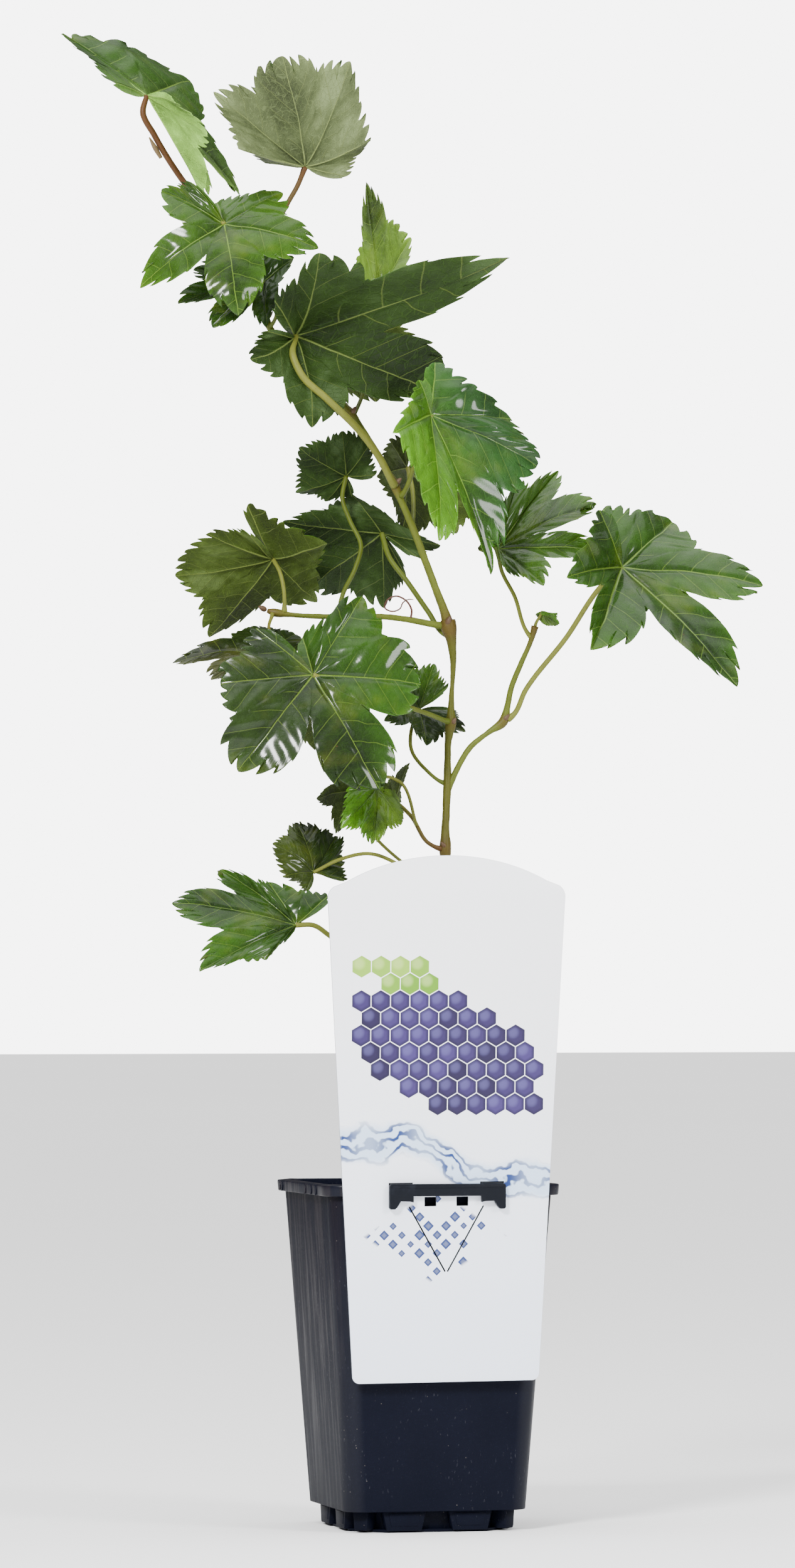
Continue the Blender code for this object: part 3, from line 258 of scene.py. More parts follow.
# Leaves: the joint of stalk and blade. The blade: the tips of its lobes going round from the left
# one seen from above, how deep the bays reach, how far it arches, and its colours, left, right and
# below. The stalk: the limb it leaves, its way to the joint, the radius at foot, middle and joint,
# and the colours of its two ends.
SHALLOW_BAYS = (0.8, 0.8, 0.8, 0.8)
EVEN_BAYS = (0.66, 0.6, 0.6, 0.66)
LEAVES = {
    "leaf_top": (
        (-145, -8, 761),
        (((-168, -4, 773), (-190, -14, 795), (-124, 36, 774), (-96, 12, 710), (-114, -24, 704),
          (-112, -40, 736), (-127, -34, 752)),
         (0.85, 0.7, 0.5, 0.6), 3, (GLOSSY, PALE, PALE)),
        ("upper", ((-123, 0, 713), (-132, -4, 725), (-141, -8, 740), (-147, -10, 752)),
         (2.2, 1.5, 1.3), (STALK_BROWN, STALK_BROWN)),
    ),
    "leaf_crown": (
        (-61, 12, 725),
        (((-37, 15, 723), (-26, 12, 740), (-37, -8, 779), (-73, -18, 781), (-110, -30, 761),
          (-96, -20, 732), (-84, 4, 728)),
         (0.75, 0.8, 0.75, 0.7), -6, (MIDDLE, MIDDLE, SHEEN)),
        ("upper", ((-88, 6, 656), (-80, 9, 685), (-70, 11, 706), (-65, 12, 715)),
         (1.5, 1.2, 1.5), (STALK_GREEN, STALK_BROWN)),
    ),
    "leaf_upper_left": (
        (-103, -42, 689),
        (((-104, -24, 705), (-72, -16, 710), (-53, -30, 677), (-95, -62, 639), (-148, -46, 656),
          (-137, -30, 708), (-124, -35, 712)),
         (0.6, 0.62, 0.45, 0.42), 6, (MIDDLE, MIDDLE, OLIVE)),
        ("upper", ((-99, 2, 677), (-108, -10, 687), (-114, -24, 699), (-111, -34, 700)),
         (1.4, 0.9, 1.2), (STALK_GREEN, STALK_YELLOW)),
    ),
    "leaf_under_left": (
        (-83, -14, 661),
        (((-66, 0, 676), (-81, -30, 635), (-109, -34, 635), (-128, -26, 650), (-120, -16, 667)),
         (0.6, 0.5, 0.5, 0.6), 3, (GLOSSY, GLOSSY, OLIVE)),
        ("upper", ((-80, 6, 639), (-76, -2, 645), (-79, -10, 655)),
         (1.3, 0.9, 1.1), (STALK_GREEN, STALK_GREEN)),
    ),
    "leaf_wide": (
        (-66, -18, 632),
        (((-90, -42, 617), (-56, -28, 582), (9, 12, 604), (46, 26, 679), (-53, -66, 672)),
         (0.6, 0.6, 0.42, 0.5), -8, (GLOSSY, GLOSSY, DEEP)),
        ("upper", ((-13, 4, 554), (-21, -6, 568), (-31, -14, 581), (-49, -26, 598), (-62, -30, 610),
                   (-67, -28, 621)),
         (2.2, 1.8, 1.9), (STALK_YELLOW, STALK_YELLOW)),
    ),
    "leaf_bright": (
        (-21, 46, 660),
        (((-33, 40, 642), (-36, 54, 667), (-29, 72, 724), (-4, 60, 692), (-6, 48, 663)),
         (0.7, 0.7, 0.75, 0.7), 2, (YELLOWISH, YELLOWISH, BRIGHT)),
        ("upper", ((-36, 8, 592), (-28, 24, 612), (-22, 38, 636), (-21, 44, 650)),
         (1.5, 1.0, 1.2), (STALK_GREEN, STALK_GREEN)),
    ),
    "leaf_inner": (
        (-39, 20, 560),
        (((-26, 14, 578), (-41, 8, 583), (-64, 12, 575), (-66, 24, 552), (-50, 26, 547)),
         (0.8, 0.85, 0.85, 0.7), -3, (DEEP, DEEP, DEEP)),
        ("left", ((-43, 8, 484), (-41, 9, 495), (-34, 9, 510), (-31, 13, 522), (-37, 17, 536),
                  (-41, 19, 548)),
         (1.5, 1.1, 1.2), (STALK_GREEN, STALK_GREEN)),
    ),
    "leaf_middle": (
        (-20, 34, 530),
        (((11, 46, 524), (-36, 32, 551), (-73, 24, 536), (-61, 38, 502), (-19, 56, 491)),
         (0.7, 0.8, 0.8, 0.7), -3, (DEEP, DEEP, DEEP)),
        ("main", ((16, 14, 475), (5, 19, 487), (-6, 22, 503), (-16, 27, 517)),
         (1.6, 1.3, 1.3), (STALK_GREEN, STALK_GREEN)),
    ),
    "leaf_front_right": (
        (6, -34, 589),
        (((14, -22, 617), (50, -14, 588), (62, -12, 563), (39, -46, 504), (11, -62, 521), (-14, -64, 577),
          (-3, -50, 604)),
         (0.75, 0.7, 0.5, 0.75), 5, (BLUISH, BRIGHT, OLIVE)),
        ("upper", ((-10, 4, 548), (-3, -8, 562), (2, -20, 578)),
         (1.6, 1.2, 1.4), (STALK_GREEN, STALK_YELLOW)),
    ),
    "leaf_right": (
        (42, 6, 520),
        (((43, 16, 541), (53, 24, 558), (75, 42, 563), (95, 16, 546), (96, 2, 520), (66, -18, 499),
          (49, -10, 504)),
         (0.6, 0.6, 0.4, 0.5), 4, (MIDDLE, MIDDLE, OLIVE)),
        ("right", ((60, 10, 473), (51, 10, 495), (44, 10, 509)),
         (1.3, 1.0, 1.1), (STALK_YELLOW, STALK_GREEN)),
    ),
    "leaf_far_right": (
        (108, 2, 510),
        (((103, 22, 545), (137, 34, 537), (183, 10, 500), (169, -28, 446), (91, -46, 465), (78, -46, 502),
          (92, -26, 536)),
         (0.6, 0.42, 0.45, 0.42), 5, (GLOSSY, GLOSSY, OLIVE)),
        ("right", ((46, 16, 430), (57, 14, 445), (78, 10, 472), (99, 4, 502)),
         (2.0, 1.3, 1.4), (STALK_YELLOW, STALK_YELLOW)),
    ),
    "leaf_left": (
        (-78, 12, 515),
        (((-95, -4, 531), (-113, -8, 528), (-130, 4, 505), (-113, 26, 475), (-55, 30, 494), (-49, 8, 523),
          (-88, -12, 542)),
         (0.8, 0.75, 0.6, 0.7), -3, (MIDDLE, BRIGHT, OLIVE)),
        ("left", ((-72, 4, 485), (-72, 3, 497), (-74, 5, 507)),
         (1.5, 1.0, 1.1), (STALK_YELLOW, STALK_YELLOW)),
    ),
    "leaf_front_left": (
        (-56, -40, 451),
        (((-59, -30, 476), (-30, -24, 494), (1, -34, 446), (-21, -52, 390), (-95, -52, 400),
          (-105, -44, 446), (-90, -34, 474)),
         (0.70, 0.55, 0.36, 0.72), 5, (GLOSSY, DEEP, OLIVE)),
        ("main", ((17, 12, 428), (7, 0, 431), (-9, -14, 436), (-29, -26, 442), (-42, -36, 446)),
         (1.7, 1.2, 1.3), (STALK_GREEN, STALK_YELLOW)),
    ),
    "leaf_far_left": (
        (-79, -14, 464),
        (((-82, -40, 445), (-110, -34, 448), (-131, -20, 459), (-90, 14, 479), (-66, 16, 475)),
         EVEN_BAYS, 3, (REDDISH, DEEP, OLIVE)),
        ("left", ((-78, 4, 486), (-80, -4, 478), (-78, -10, 471)),
         (1.2, 0.8, 0.9), (STALK_YELLOW, STALK_BROWN)),
    ),
    "leaf_stem": (
        (0, 26, 435),
        (((25, 24, 423), (4, 14, 415), (-19, 22, 429), (-9, 40, 458), (8, 42, 460)),
         EVEN_BAYS, 2, (DEEP, MIDDLE, OLIVE)),
        ("main", ((15, 10, 395), (4, 12, 402), (-4, 18, 413), (-3, 24, 428)),
         (1.3, 0.9, 0.9), (STALK_GREEN, STALK_YELLOW)),
    ),
    "leaf_small_dark": (
        (-37, 8, 391),
        (((-31, -4, 404), (-41, -6, 403), (-55, 2, 387), (-45, 22, 369), (-36, 22, 372)),
         (0.7, 0.6, 0.6, 0.7), 1, (DEEP, DEEP, OLIVE)),
        ("main", ((13, 8, 344), (-3, 8, 349), (-14, 6, 357), (-25, 6, 368), (-33, 7, 380)),
         (1.2, 0.8, 0.8), (STALK_YELLOW, STALK_YELLOW)),
    ),
    "leaf_small_bright": (
        (-23, -4, 392),
        (((-10, 10, 386), (-10, -10, 372), (-25, -22, 362), (-41, -26, 371), (-39, -14, 390)),
         SHALLOW_BAYS, 2, (YELLOWISH, BRIGHT, BRIGHT)),
        ("small", ((-1, 5, 372), (-11, 0, 396), (-18, -3, 398)),
         (0.9, 0.8, 0.8), (STALK_YELLOW, STALK_YELLOW)),
    ),
    "leaf_small_grey": (
        (-13, 12, 386),
        (((-16, 24, 378), (-9, 24, 382), (-5, 10, 406), (-16, -2, 398), (-19, 0, 389)),
         EVEN_BAYS, 1, (OLIVE, MIDDLE, OLIVE)),
        ("main", ((14, 8, 360), (5, 4, 363), (-4, 6, 377)),
         (1.5, 1.0, 0.8), (STALK_BROWN, STALK_YELLOW)),
    ),
    "leaf_crumpled": (
        (-56, -20, 347),
        (((-72, -28, 345), (-78, -24, 362), (-66, -4, 374), (-43, 8, 368), (-41, -2, 357)),
         SHALLOW_BAYS, 3, (OLIVE, DEEP, OLIVE)),
        ("main", ((13, 8, 328), (-1, 2, 344), (-12, -3, 352), (-25, -8, 357), (-42, -16, 354)),
         (1.2, 0.9, 0.9), (STALK_YELLOW, STALK_YELLOW)),
    ),
    "leaf_lowest": (
        (-65, -48, 319),
        (((-70, -60, 311), (-80, -66, 301), (-115, -72, 294), (-130, -56, 331), (-105, -30, 350),
          (-80, -36, 341), (-50, -40, 335)),
         (0.7, 0.6, 0.55, 0.6), 4, (GLOSSY, GLOSSY, OLIVE)),
        ("main", ((12, 8, 284), (-16, -10, 291), (-36, -30, 304), (-48, -40, 314), (-56, -46, 319)),
         (1.6, 1.2, 1.3), (STALK_GREEN, STALK_YELLOW)),
    ),
    "leaf_back_middle": (
        (-6, 62, 567),
        (((-16, 78, 584), (-23, 90, 564), (-9, 84, 533), (21, 80, 533), (32, 70, 563)),
         SHALLOW_BAYS, 3, (GLOSSY, MIDDLE, OLIVE)),
        ("upper", ((-4, 6, 533), (-3, 30, 547), (-4, 50, 558)),
         (1.5, 1.1, 1.1), (STALK_GREEN, STALK_YELLOW)),
    ),
    "leaf_back_low": (
        (-50, 20, 442),
        (((-73, 26, 452), (-80, 40, 429), (-53, 50, 413), (-31, 50, 433), (-36, 36, 459)),
         SHALLOW_BAYS, 3, (GLOSSY, GLOSSY, OLIVE)),
        ("left", ((-36, 8, 484), (-39, 14, 465), (-46, 18, 450)),
         (1.4, 1.0, 1.0), (STALK_GREEN, STALK_YELLOW)),
    ),
    "leaf_back_high": (
        (-43, 50, 629),
        (((-64, 60, 637), (-57, 76, 611), (-23, 74, 604), (4, 74, 624), (-9, 70, 645)),
         SHALLOW_BAYS, 3, (MIDDLE, GLOSSY, OLIVE)),
        ("upper", ((-56, 10, 616), (-52, 28, 622), (-46, 42, 627)),
         (1.4, 1.0, 1.0), (STALK_GREEN, STALK_YELLOW)),
    ),
    "leaf_bud": (
        (66, 9, 487),
        (((71, 4, 485), (74, 6, 486), (75, 8, 480), (70, 12, 479), (65, 12, 482)),
         SHALLOW_BAYS, 1, (BRIGHT, YELLOWISH, BRIGHT)),
        ("right", ((63, 10, 482), (65, 9, 485)),
         (0.9, 0.7, 0.7), (STALK_YELLOW, STALK_YELLOW)),
    ),
}
# Leaves that differ from the rest: in the waves of the rim, in broader lobes, in standing on the tip
# of a shoot, in sharing a neighbour's plain solid, and in being listed as fresh
LEAF_WAVES = {"leaf_top": 4}
FULL_LEAVES = ("leaf_front_left",)
TIP_LEAVES = ("leaf_top", "leaf_bud")
SHARED_NODES = {"leaf_small_bright": "leaf_small_grey"}
FRESH_LEAVES = ("leaf_bright", "leaf_small_grey", "leaf_front_right", "leaf_left", "leaf_bud")
# The stalk that the "small" limb stands for, which a second leaf's stalk leaves
FORKED_STALK = "leaf_small_grey"
# Stalks: how deep the foot sits in the limb, the straight start, the step and the swellings at both ends
STALK_SUNK = 0.8
STALK_START = 2.4
STALK_STEP = 1.2
FOOT_SWELL = 3.2
JOINT_SWELL = 4.0

# Light of the room on the plant, and the pale backdrop that is seen
ROOM_LIGHT = 0.30
OVERHEAD_LIGHT = 4.2
BACKDROP_LIGHT = 6.5
# Soft lamps, in metres: place, aim, size and power
LAMPS = {
    "key": ((-1.6, -2.2, 1.9), (0, 0, 0.45), 0.6, 170),
    "fill": ((1.5, -2.0, 1.3), (0, 0, 0.4), 0.8, 60),
}
CAMERA_PLACE = (-0.0103, -4.0, 0.3)
CAMERA_TILT = math.radians(91.352)
CAMERA_LENS = 172.45


def seen(place):
    """A place in the vine's own drawing, in metres in the frame."""
    return Matrix.Rotation(TURN, 3, "Z") @ (Vector(place[:3]) + VINE_ASIDE) * MM


def seen_all(places):
    """The same for many places at once."""
    turn = np.array(Matrix.Rotation(TURN, 3, "Z"))
    return (places + np.array(VINE_ASIDE)) @ turn.T * MM


# Materials


def maths_of(operation, swapped=False):
    """A Python operator that adds one maths node."""
    def method(value, *others):
        return value.tree.maths(operation, *((*others, value) if swapped else (value, *others)))
    return method


class Value:
    """A number on its way through a material: Python's operators add its maths."""

    def __init__(self, tree, socket):
        self.tree, self.socket = tree, socket

    __add__ = __radd__ = maths_of("ADD")
    __mul__ = __rmul__ = maths_of("MULTIPLY")
    __sub__ = maths_of("SUBTRACT")
    __rsub__ = maths_of("SUBTRACT", swapped=True)
    __truediv__ = maths_of("DIVIDE")
    __pow__ = maths_of("POWER")
    __abs__ = maths_of("ABSOLUTE")

    def fade(self, start, stop, low=0.0, high=1.0):
        """Goes smoothly from low at start to high at stop."""
        inputs = {"Value": self, "From Min": start, "From Max": stop, "To Min": low, "To Max": high}
        return self.tree.value("ShaderNodeMapRange", {"interpolation_type": "SMOOTHSTEP"}, inputs, "Result")


class Tree:
    """The nodes of a material or of the studio's light."""

    def __init__(self, nodes):
        self.nodes = nodes

    def feed(self, socket, given):
        if isinstance(given, Value):
            given = given.socket
        if isinstance(given, bpy.types.NodeSocket):
            self.nodes.links.new(given, socket)
        else:
            socket.default_value = given

    def node(self, kind, settings=None, inputs=None):
        made = self.nodes.nodes.new(kind)
        for key, setting in (settings or {}).items():
            setattr(made, key, setting)
        for key, given in (inputs or {}).items():
            self.feed(made.inputs[key], given)
        return made

    def value(self, kind, settings, inputs, output):
        return Value(self, self.node(kind, settings, inputs).outputs[output])

    def maths(self, operation, *values):
        return self.value("ShaderNodeMath", {"operation": operation}, dict(enumerate(values)), 0)

    def split(self, vector):
        """The three numbers of a vector."""
        parts = self.node("ShaderNodeSeparateXYZ", {}, {0: vector})
        return [Value(self, part) for part in parts.outputs]


class Finish(Tree):
    """One material under construction."""

    def __init__(self, name, **constants):
        self.material = bpy.data.materials.new(name)
        self.material.use_nodes = True
        super().__init__(self.material.node_tree)
        self.shader = self.nodes.nodes["Principled BSDF"]
        self.spot = self.pattern_spot()
        for key, constant in constants.items():
            self.shader.inputs[key.replace("_", " ")].default_value = constant

    def pattern_spot(self):
        """Patterns lie on the frame's own coordinates."""
        return self.place()

    def mix(self, share, first, second):
        """A colour between two others."""
        colours = [(*c, 1.0) if isinstance(c, tuple) else c for c in (first, second)]
        inputs = {0: share, 6: colours[0], 7: colours[1]}
        return self.node("ShaderNodeMix", {"data_type": "RGBA"}, inputs).outputs[2]

    def scaled(self, colour, amount):
        """A colour made lighter or darker."""
        return self.node("ShaderNodeVectorMath", {"operation": "SCALE"}, {0: colour, 3: amount}).outputs[0]

    def place(self, scale=(1, 1, 1), turn=(0, 0, 0)):
        """The frame's own coordinates, stretched and turned."""
        spot = self.node("ShaderNodeTexCoord").outputs["Object"]
        inputs = {"Vector": spot, "Scale": scale, "Rotation": turn}
        return self.node("ShaderNodeMapping", {}, inputs).outputs[0]

    def noise(self, scale, detail=3, roughness=0.55, at=None):
        spot = self.spot if at is None else at
        inputs = {"Vector": spot, "Scale": scale, "Detail": detail, "Roughness": roughness}
        return self.value("ShaderNodeTexNoise", {}, inputs, "Fac")

    def cells(self, scale, feature="F1"):
        inputs = {"Vector": self.spot, "Scale": scale}
        return self.value("ShaderNodeTexVoronoi", {"feature": feature}, inputs, "Distance")

    def chance(self, column, row):
        """One random number for each cell of a pattern."""
        cell = self.node("ShaderNodeCombineXYZ", {}, {0: column, 1: row}).outputs[0]
        return self.value("ShaderNodeTexWhiteNoise", {"noise_dimensions": "2D"}, {"Vector": cell}, "Value")

    def attribute(self, name):
        return self.node("ShaderNodeAttribute", {"attribute_name": name}).outputs["Color"]

    def finish(self, colour, roughness=None, height=None, strength=0.5, distance=0.0005):
        self.feed(self.shader.inputs["Base Color"], colour)
        if roughness is not None:
            self.feed(self.shader.inputs["Roughness"], roughness)
        if height is not None:
            inputs = {"Height": height, "Strength": strength, "Distance": distance}
            self.feed(self.shader.inputs["Normal"], self.node("ShaderNodeBump", {}, inputs).outputs[0])
        return self.material


class LeafSkin(Finish):
    """A leaf's finish: its veins, their fine net, blotches and crumples."""

    def __init__(self, name, **constants):
        super().__init__(name, **constants)
        across_blade, along_blade = ((part - 0.5) * UV_SPAN for part in self.split(self.spot)[:2])
        wobble = self.noise(8.0, 2) - 0.5
        angle = self.maths("ARCTAN2", across_blade, along_blade)
        apart = math.radians(VEIN_APART)
        local = angle - self.maths("ROUND", angle / apart) * apart + wobble * 0.06
        reach = (across_blade * across_blade + along_blade * along_blade) ** 0.5
        along = reach * self.maths("COSINE", local)
        across = abs(reach * self.maths("SINE", local))
        width = 0.0095 - reach * 0.0065
        self.main = 1 - across.fade(width * 0.35, width)
        stagger = self.maths("GREATER_THAN", local, 0.0) * 0.5
        slant = across * SIDE_VEIN_SLANT + across * across * SIDE_VEIN_CURVE
        row = (along - slant) / SIDE_VEIN_APART + stagger + wobble * 0.4
        from_vein = abs(self.maths("FRACT", row) - 0.5) * SIDE_VEIN_APART
        between = 1 - abs(local).fade(apart * 0.36, apart * 0.48)
        self.side = (1 - from_vein.fade(0.001, 0.006)) * reach.fade(0.06, 0.2) * between
        self.net = 1 - self.cells(46.0, "DISTANCE_TO_EDGE").fade(0.01, 0.07)
        self.fine = 1 - self.cells(130.0, "DISTANCE_TO_EDGE").fade(0.02, 0.12)
        # Painted shade: a mask for darkening the blade beside its sunk veins.
        self.beside = 1 - self.maths("MINIMUM", across * 2.2, from_vein * 3.0).fade(0.0, 0.16)
        self.patch = self.noise(4.5, 4).fade(0.26, 0.74)
        self.fleck = self.noise(70.0)
        self.crumple = self.noise(26.0, 4)

    def pattern_spot(self):
        """Patterns lie on the blade's own flat coordinates."""
        return self.node("ShaderNodeUVMap", {"uv_map": "UVMap"}).outputs[0]

    def veined(self, body, vein):
        """A blade's colour with the veins drawn on it."""
        return self.mix(self.main, self.mix(self.side * 0.55, body, vein), vein)


def leaf_upper():
    """Glossy and deep green, blotched warmer, with pale veins and a few brown specks."""
    paint = LeafSkin("leaf_upper", Specular_IOR_Level=0.08, Coat_Weight=0.34, Coat_Roughness=0.13)
    tint = paint.attribute("tint")
    # The body is painted darker beside the veins, as shade.
    body = paint.scaled(tint, 0.16 + paint.patch * 0.78 + paint.fleck * 0.26 - paint.beside * 0.12)
    warm = paint.noise(7.0).fade(0.52, 0.72)
    body = paint.mix(warm * 0.30, body, paint.scaled(paint.mix(0.35, tint, (0.14, 0.14, 0.01)), 1.3))
    body = paint.mix(paint.net * 0.16 + paint.fine * 0.08, body, paint.scaled(tint, 1.7))
    vein = paint.mix(0.45, paint.scaled(tint, 1.9), (0.14, 0.19, 0.03))
    speck = 1 - paint.cells(21.0).fade(0.02, 0.055)
    spotted = speck * paint.noise(6.0, 1).fade(0.60, 0.68)
    colour = paint.mix(spotted * 0.8, paint.veined(body, vein), (0.06, 0.026, 0.006))
    height = (1 - paint.side) * 0.5 + (1 - paint.main) * 0.7 + (1 - paint.net) * 0.5
    height = height + (1 - paint.fine) * 0.15 + paint.crumple * 2.1
    return paint.finish(colour, 0.34 + paint.fleck * 0.20, height, 0.6, 0.0008)


def leaf_under():
    """Duller and paler, with raised veins and a painted greyish sheen in patches."""
    paint = LeafSkin("leaf_under", Specular_IOR_Level=0.12)
    tint = paint.attribute("under")
    body = paint.scaled(tint, 0.16 + paint.patch * 1.08 + paint.fleck * 0.26)
    # Painted sheen: lighter greyish patches mixed into the underside colour.
    painted_sheen = paint.scaled(paint.mix(0.3, tint, (0.06, 0.07, 0.05)), 2.3)
    body = paint.mix(paint.patch.fade(0.55, 1.0) * 0.46, body, painted_sheen)
    body = paint.mix(paint.net * 0.24 + paint.fine * 0.12, body, paint.scaled(tint, 2.0))
    vein = paint.mix(0.5, paint.scaled(tint, 2.2), (0.13, 0.155, 0.040))
    height = paint.main + paint.side * 0.7 + paint.net * 0.4 + paint.fine * 0.15 + paint.crumple * 0.9
    return paint.finish(paint.veined(body, vein), 0.42 + paint.fleck * 0.25, height, 0.7, 0.0008)


def stem_skin():
    """Green to brown skin of the shoots and stalks, with fine lengthwise streaks."""
    paint = Finish("stem_skin", Specular_IOR_Level=0.15)
    streak = paint.noise(1500.0, at=paint.place((1, 1, 0.18)))
    patch = paint.noise(160.0)
    speck = 1 - paint.cells(700.0).fade(0.08, 0.2)
    colour = paint.scaled(paint.attribute("tint"), 0.55 + patch * 0.5 + streak * 0.4)
    colour = paint.mix(speck * 0.5, colour, (0.035, 0.020, 0.010))
    return paint.finish(colour, 0.36 + patch * 0.25, streak * 0.7 + patch * 0.5, 0.4, 0.0004)


def pot_plastic():
    """Satin blue-black plastic, streaked from the mould, with painted warm reflection in the streaks on its
    flanks, scuffed and a little dusty.
    """
    paint = Finish("pot_plastic", Specular_IOR_Level=0.02, Coat_Roughness=0.28)
    streak = paint.noise(240.0, at=paint.place((1, 1, 0.008)))
    cloud = paint.noise(28.0, 4)
    scratch = paint.noise(900.0, 2, at=paint.place((1, 1, 0.35), (0.5, 0.3, 0.2)))
    scuff = scratch.fade(0.66, 0.74) * cloud.fade(0.45, 0.65)
    speck = 1 - paint.cells(260.0).fade(0.05, 0.10)
    dust = speck * paint.noise(60.0, 1).fade(0.50, 0.62)
    side, deep, high = paint.split(paint.spot)
    half = BODY_FOOT_HALF * MM + high * ((BODY_TOP_HALF - BODY_FOOT_HALF) / POT_HEIGHT)
    corner = ((abs(side) + abs(deep)) / half).fade(1.76, 1.85)
    flank = abs(side).fade(0.044, 0.056)
    # Painted reflection: warm brownish streaks down the flanks.
    warm = abs(side).fade(0.048, 0.060) * streak.fade(0.35, 0.65)
    colour = paint.mix(cloud, (0.0020, 0.0026, 0.0066), (0.0045, 0.0055, 0.0120))
    colour = paint.mix(warm * 0.5, colour, (0.011, 0.0075, 0.010))
    colour = paint.mix(scuff * 0.35, colour, (0.040, 0.042, 0.055))
    colour = paint.mix(dust * 0.7, colour, (0.11, 0.10, 0.09))
    gloss = 0.05 + corner * 0.16 + flank * streak.fade(0.45, 0.70) * 0.14 + scuff * 0.2
    paint.feed(paint.shader.inputs["Coat Weight"], gloss)
    grain = paint.noise(2400.0, 2)
    height = streak * flank * 0.8 + grain * 0.8 + scuff * 0.5 + dust * 0.4
    return paint.finish(colour, 0.45 + cloud * 0.18 + dust * 0.3, height, 0.35, 0.0004)


def potting_soil():
    """Dark crumbs of peat and bark, browner on the lumps."""
    paint = Finish("potting_soil", Specular_IOR_Level=0.25)
    crumb = paint.noise(420.0, 5, 0.7)
    grain = paint.cells(620.0)
    colour = paint.scaled(paint.attribute("tint"), 0.4 + crumb * 1.2)
    colour = paint.mix(grain.fade(0.5, 0.9) * 0.4, colour, (0.030, 0.018, 0.010))
    return paint.finish(colour, 0.82 + crumb * 0.15, crumb + grain * 0.5, 0.9, 0.0012)


def hexagons(paint, u, v):
    """Where the middle of the honeycomb cell lies, and how near its edge a place is."""
    root = math.sqrt(3)

    def offset(a, b):
        return a - paint.maths("ROUND", a), b - paint.maths("ROUND", b / root) * root

    ax, ay = offset(u, v)
    bx, by = offset(u - 0.5, v - root / 2)
    near = paint.maths("LESS_THAN", ax * ax + ay * ay, bx * bx + by * by)
    x, y = bx + (ax - bx) * near, by + (ay - by) * near
    edge = paint.maths("MAXIMUM", abs(x), abs(x) * 0.5 + abs(y) * (root / 2))
    return u - x, v - y, edge


def honeycomb(paint, art, x, z):
    """A violet honeycomb with a few green cells over it."""
    u, v, edge = hexagons(paint, x / CELL, z / CELL)
    column, row = paint.maths("ROUND", u * 2), paint.maths("ROUND", v * 2 / math.sqrt(3))
    cx, cz = column * (CELL / 2), row * (CELL * math.sqrt(3) / 2)
    loose = paint.chance(column, row)
    cell = (1 - edge.fade(0.468, 0.486)) * (1 - abs(cx).fade(ART_HALF - 0.5, ART_HALF + 0.5))
    away = abs(cz - COMB_AT + cx * 0.22) / (35 - abs(cx) * 0.32)
    tiled = cell * (1 - (away + loose * 0.22).fade(1.02, 1.03))
    shine = 1 - ((x - cx + 1.4) ** 2 + (z - cz - 1.6) ** 2).fade(0.0, 16.0)
    violet = paint.mix(loose, (0.009, 0.004, 0.030), (0.042, 0.025, 0.125))
    violet = paint.mix(shine * 0.30, violet, (0.14, 0.13, 0.36))
    violet = paint.mix(edge.fade(0.28, 0.44) * 0.6, violet, (0.006, 0.003, 0.022))
    green_at = abs(cz - GREEN_AT + cx * 0.10) / 15 + abs(cx + 24) / 40
    green = cell * (1 - (green_at + loose * 0.4).fade(0.99, 1.0)) * (1 - tiled)
    leafy = paint.mix(loose, (0.10, 0.26, 0.008), (0.26, 0.45, 0.050))
    leafy = paint.mix(shine * 0.5, leafy, (0.45, 0.62, 0.18))
    return paint.mix(green, paint.mix(tiled, art, violet), leafy)


def ripples(paint, art, x, z):
    """A band of blue waves across the sheet."""
    swirl = paint.noise(55.0) - 0.5
    level = z - WAVES_AT + x * 0.26 + paint.maths("SINE", x * 0.085) * 5 + swirl * 14
    ripple = abs(paint.maths("FRACT", level * 0.17 + swirl * 2) - 0.5) * 2
    crest = paint.maths("SINE", x * 0.21 + 1.0) * 0.5 + 0.5
    wave = (1 - abs(level).fade(5.0, 11.0)) * (1 - abs(x).fade(56, 60))
    art = paint.mix(wave * 0.55, art, (0.26, 0.48, 0.78))
    return paint.mix(wave * ripple.fade(0.52, 0.80) * (0.55 + crest * 0.45), art, (0.008, 0.030, 0.150))


def diamonds(paint, art, x, z):
    """A scatter of blue diamonds round the tongue."""
    across, along = (x + z) / DIAMOND, (z - x) / DIAMOND
    column, row = paint.maths("ROUND", across), paint.maths("ROUND", along)
    chance = paint.chance(column, row)
    drop = paint.maths("MAXIMUM", abs(across - column), abs(along - row)) / (0.12 + chance * 0.22)
    diamond = (1 - drop.fade(0.85, 1.0)) * (0.88 + drop.fade(0.3, 0.8) * 0.12) * chance.fade(0.35, 0.40)
    reach = 1 - (abs(x + 6) / 40 + abs(z - DIAMONDS_AT) / 26).fade(0.90, 1.0)
    return paint.mix(diamond * reach, art, (0.004, 0.022, 0.130))


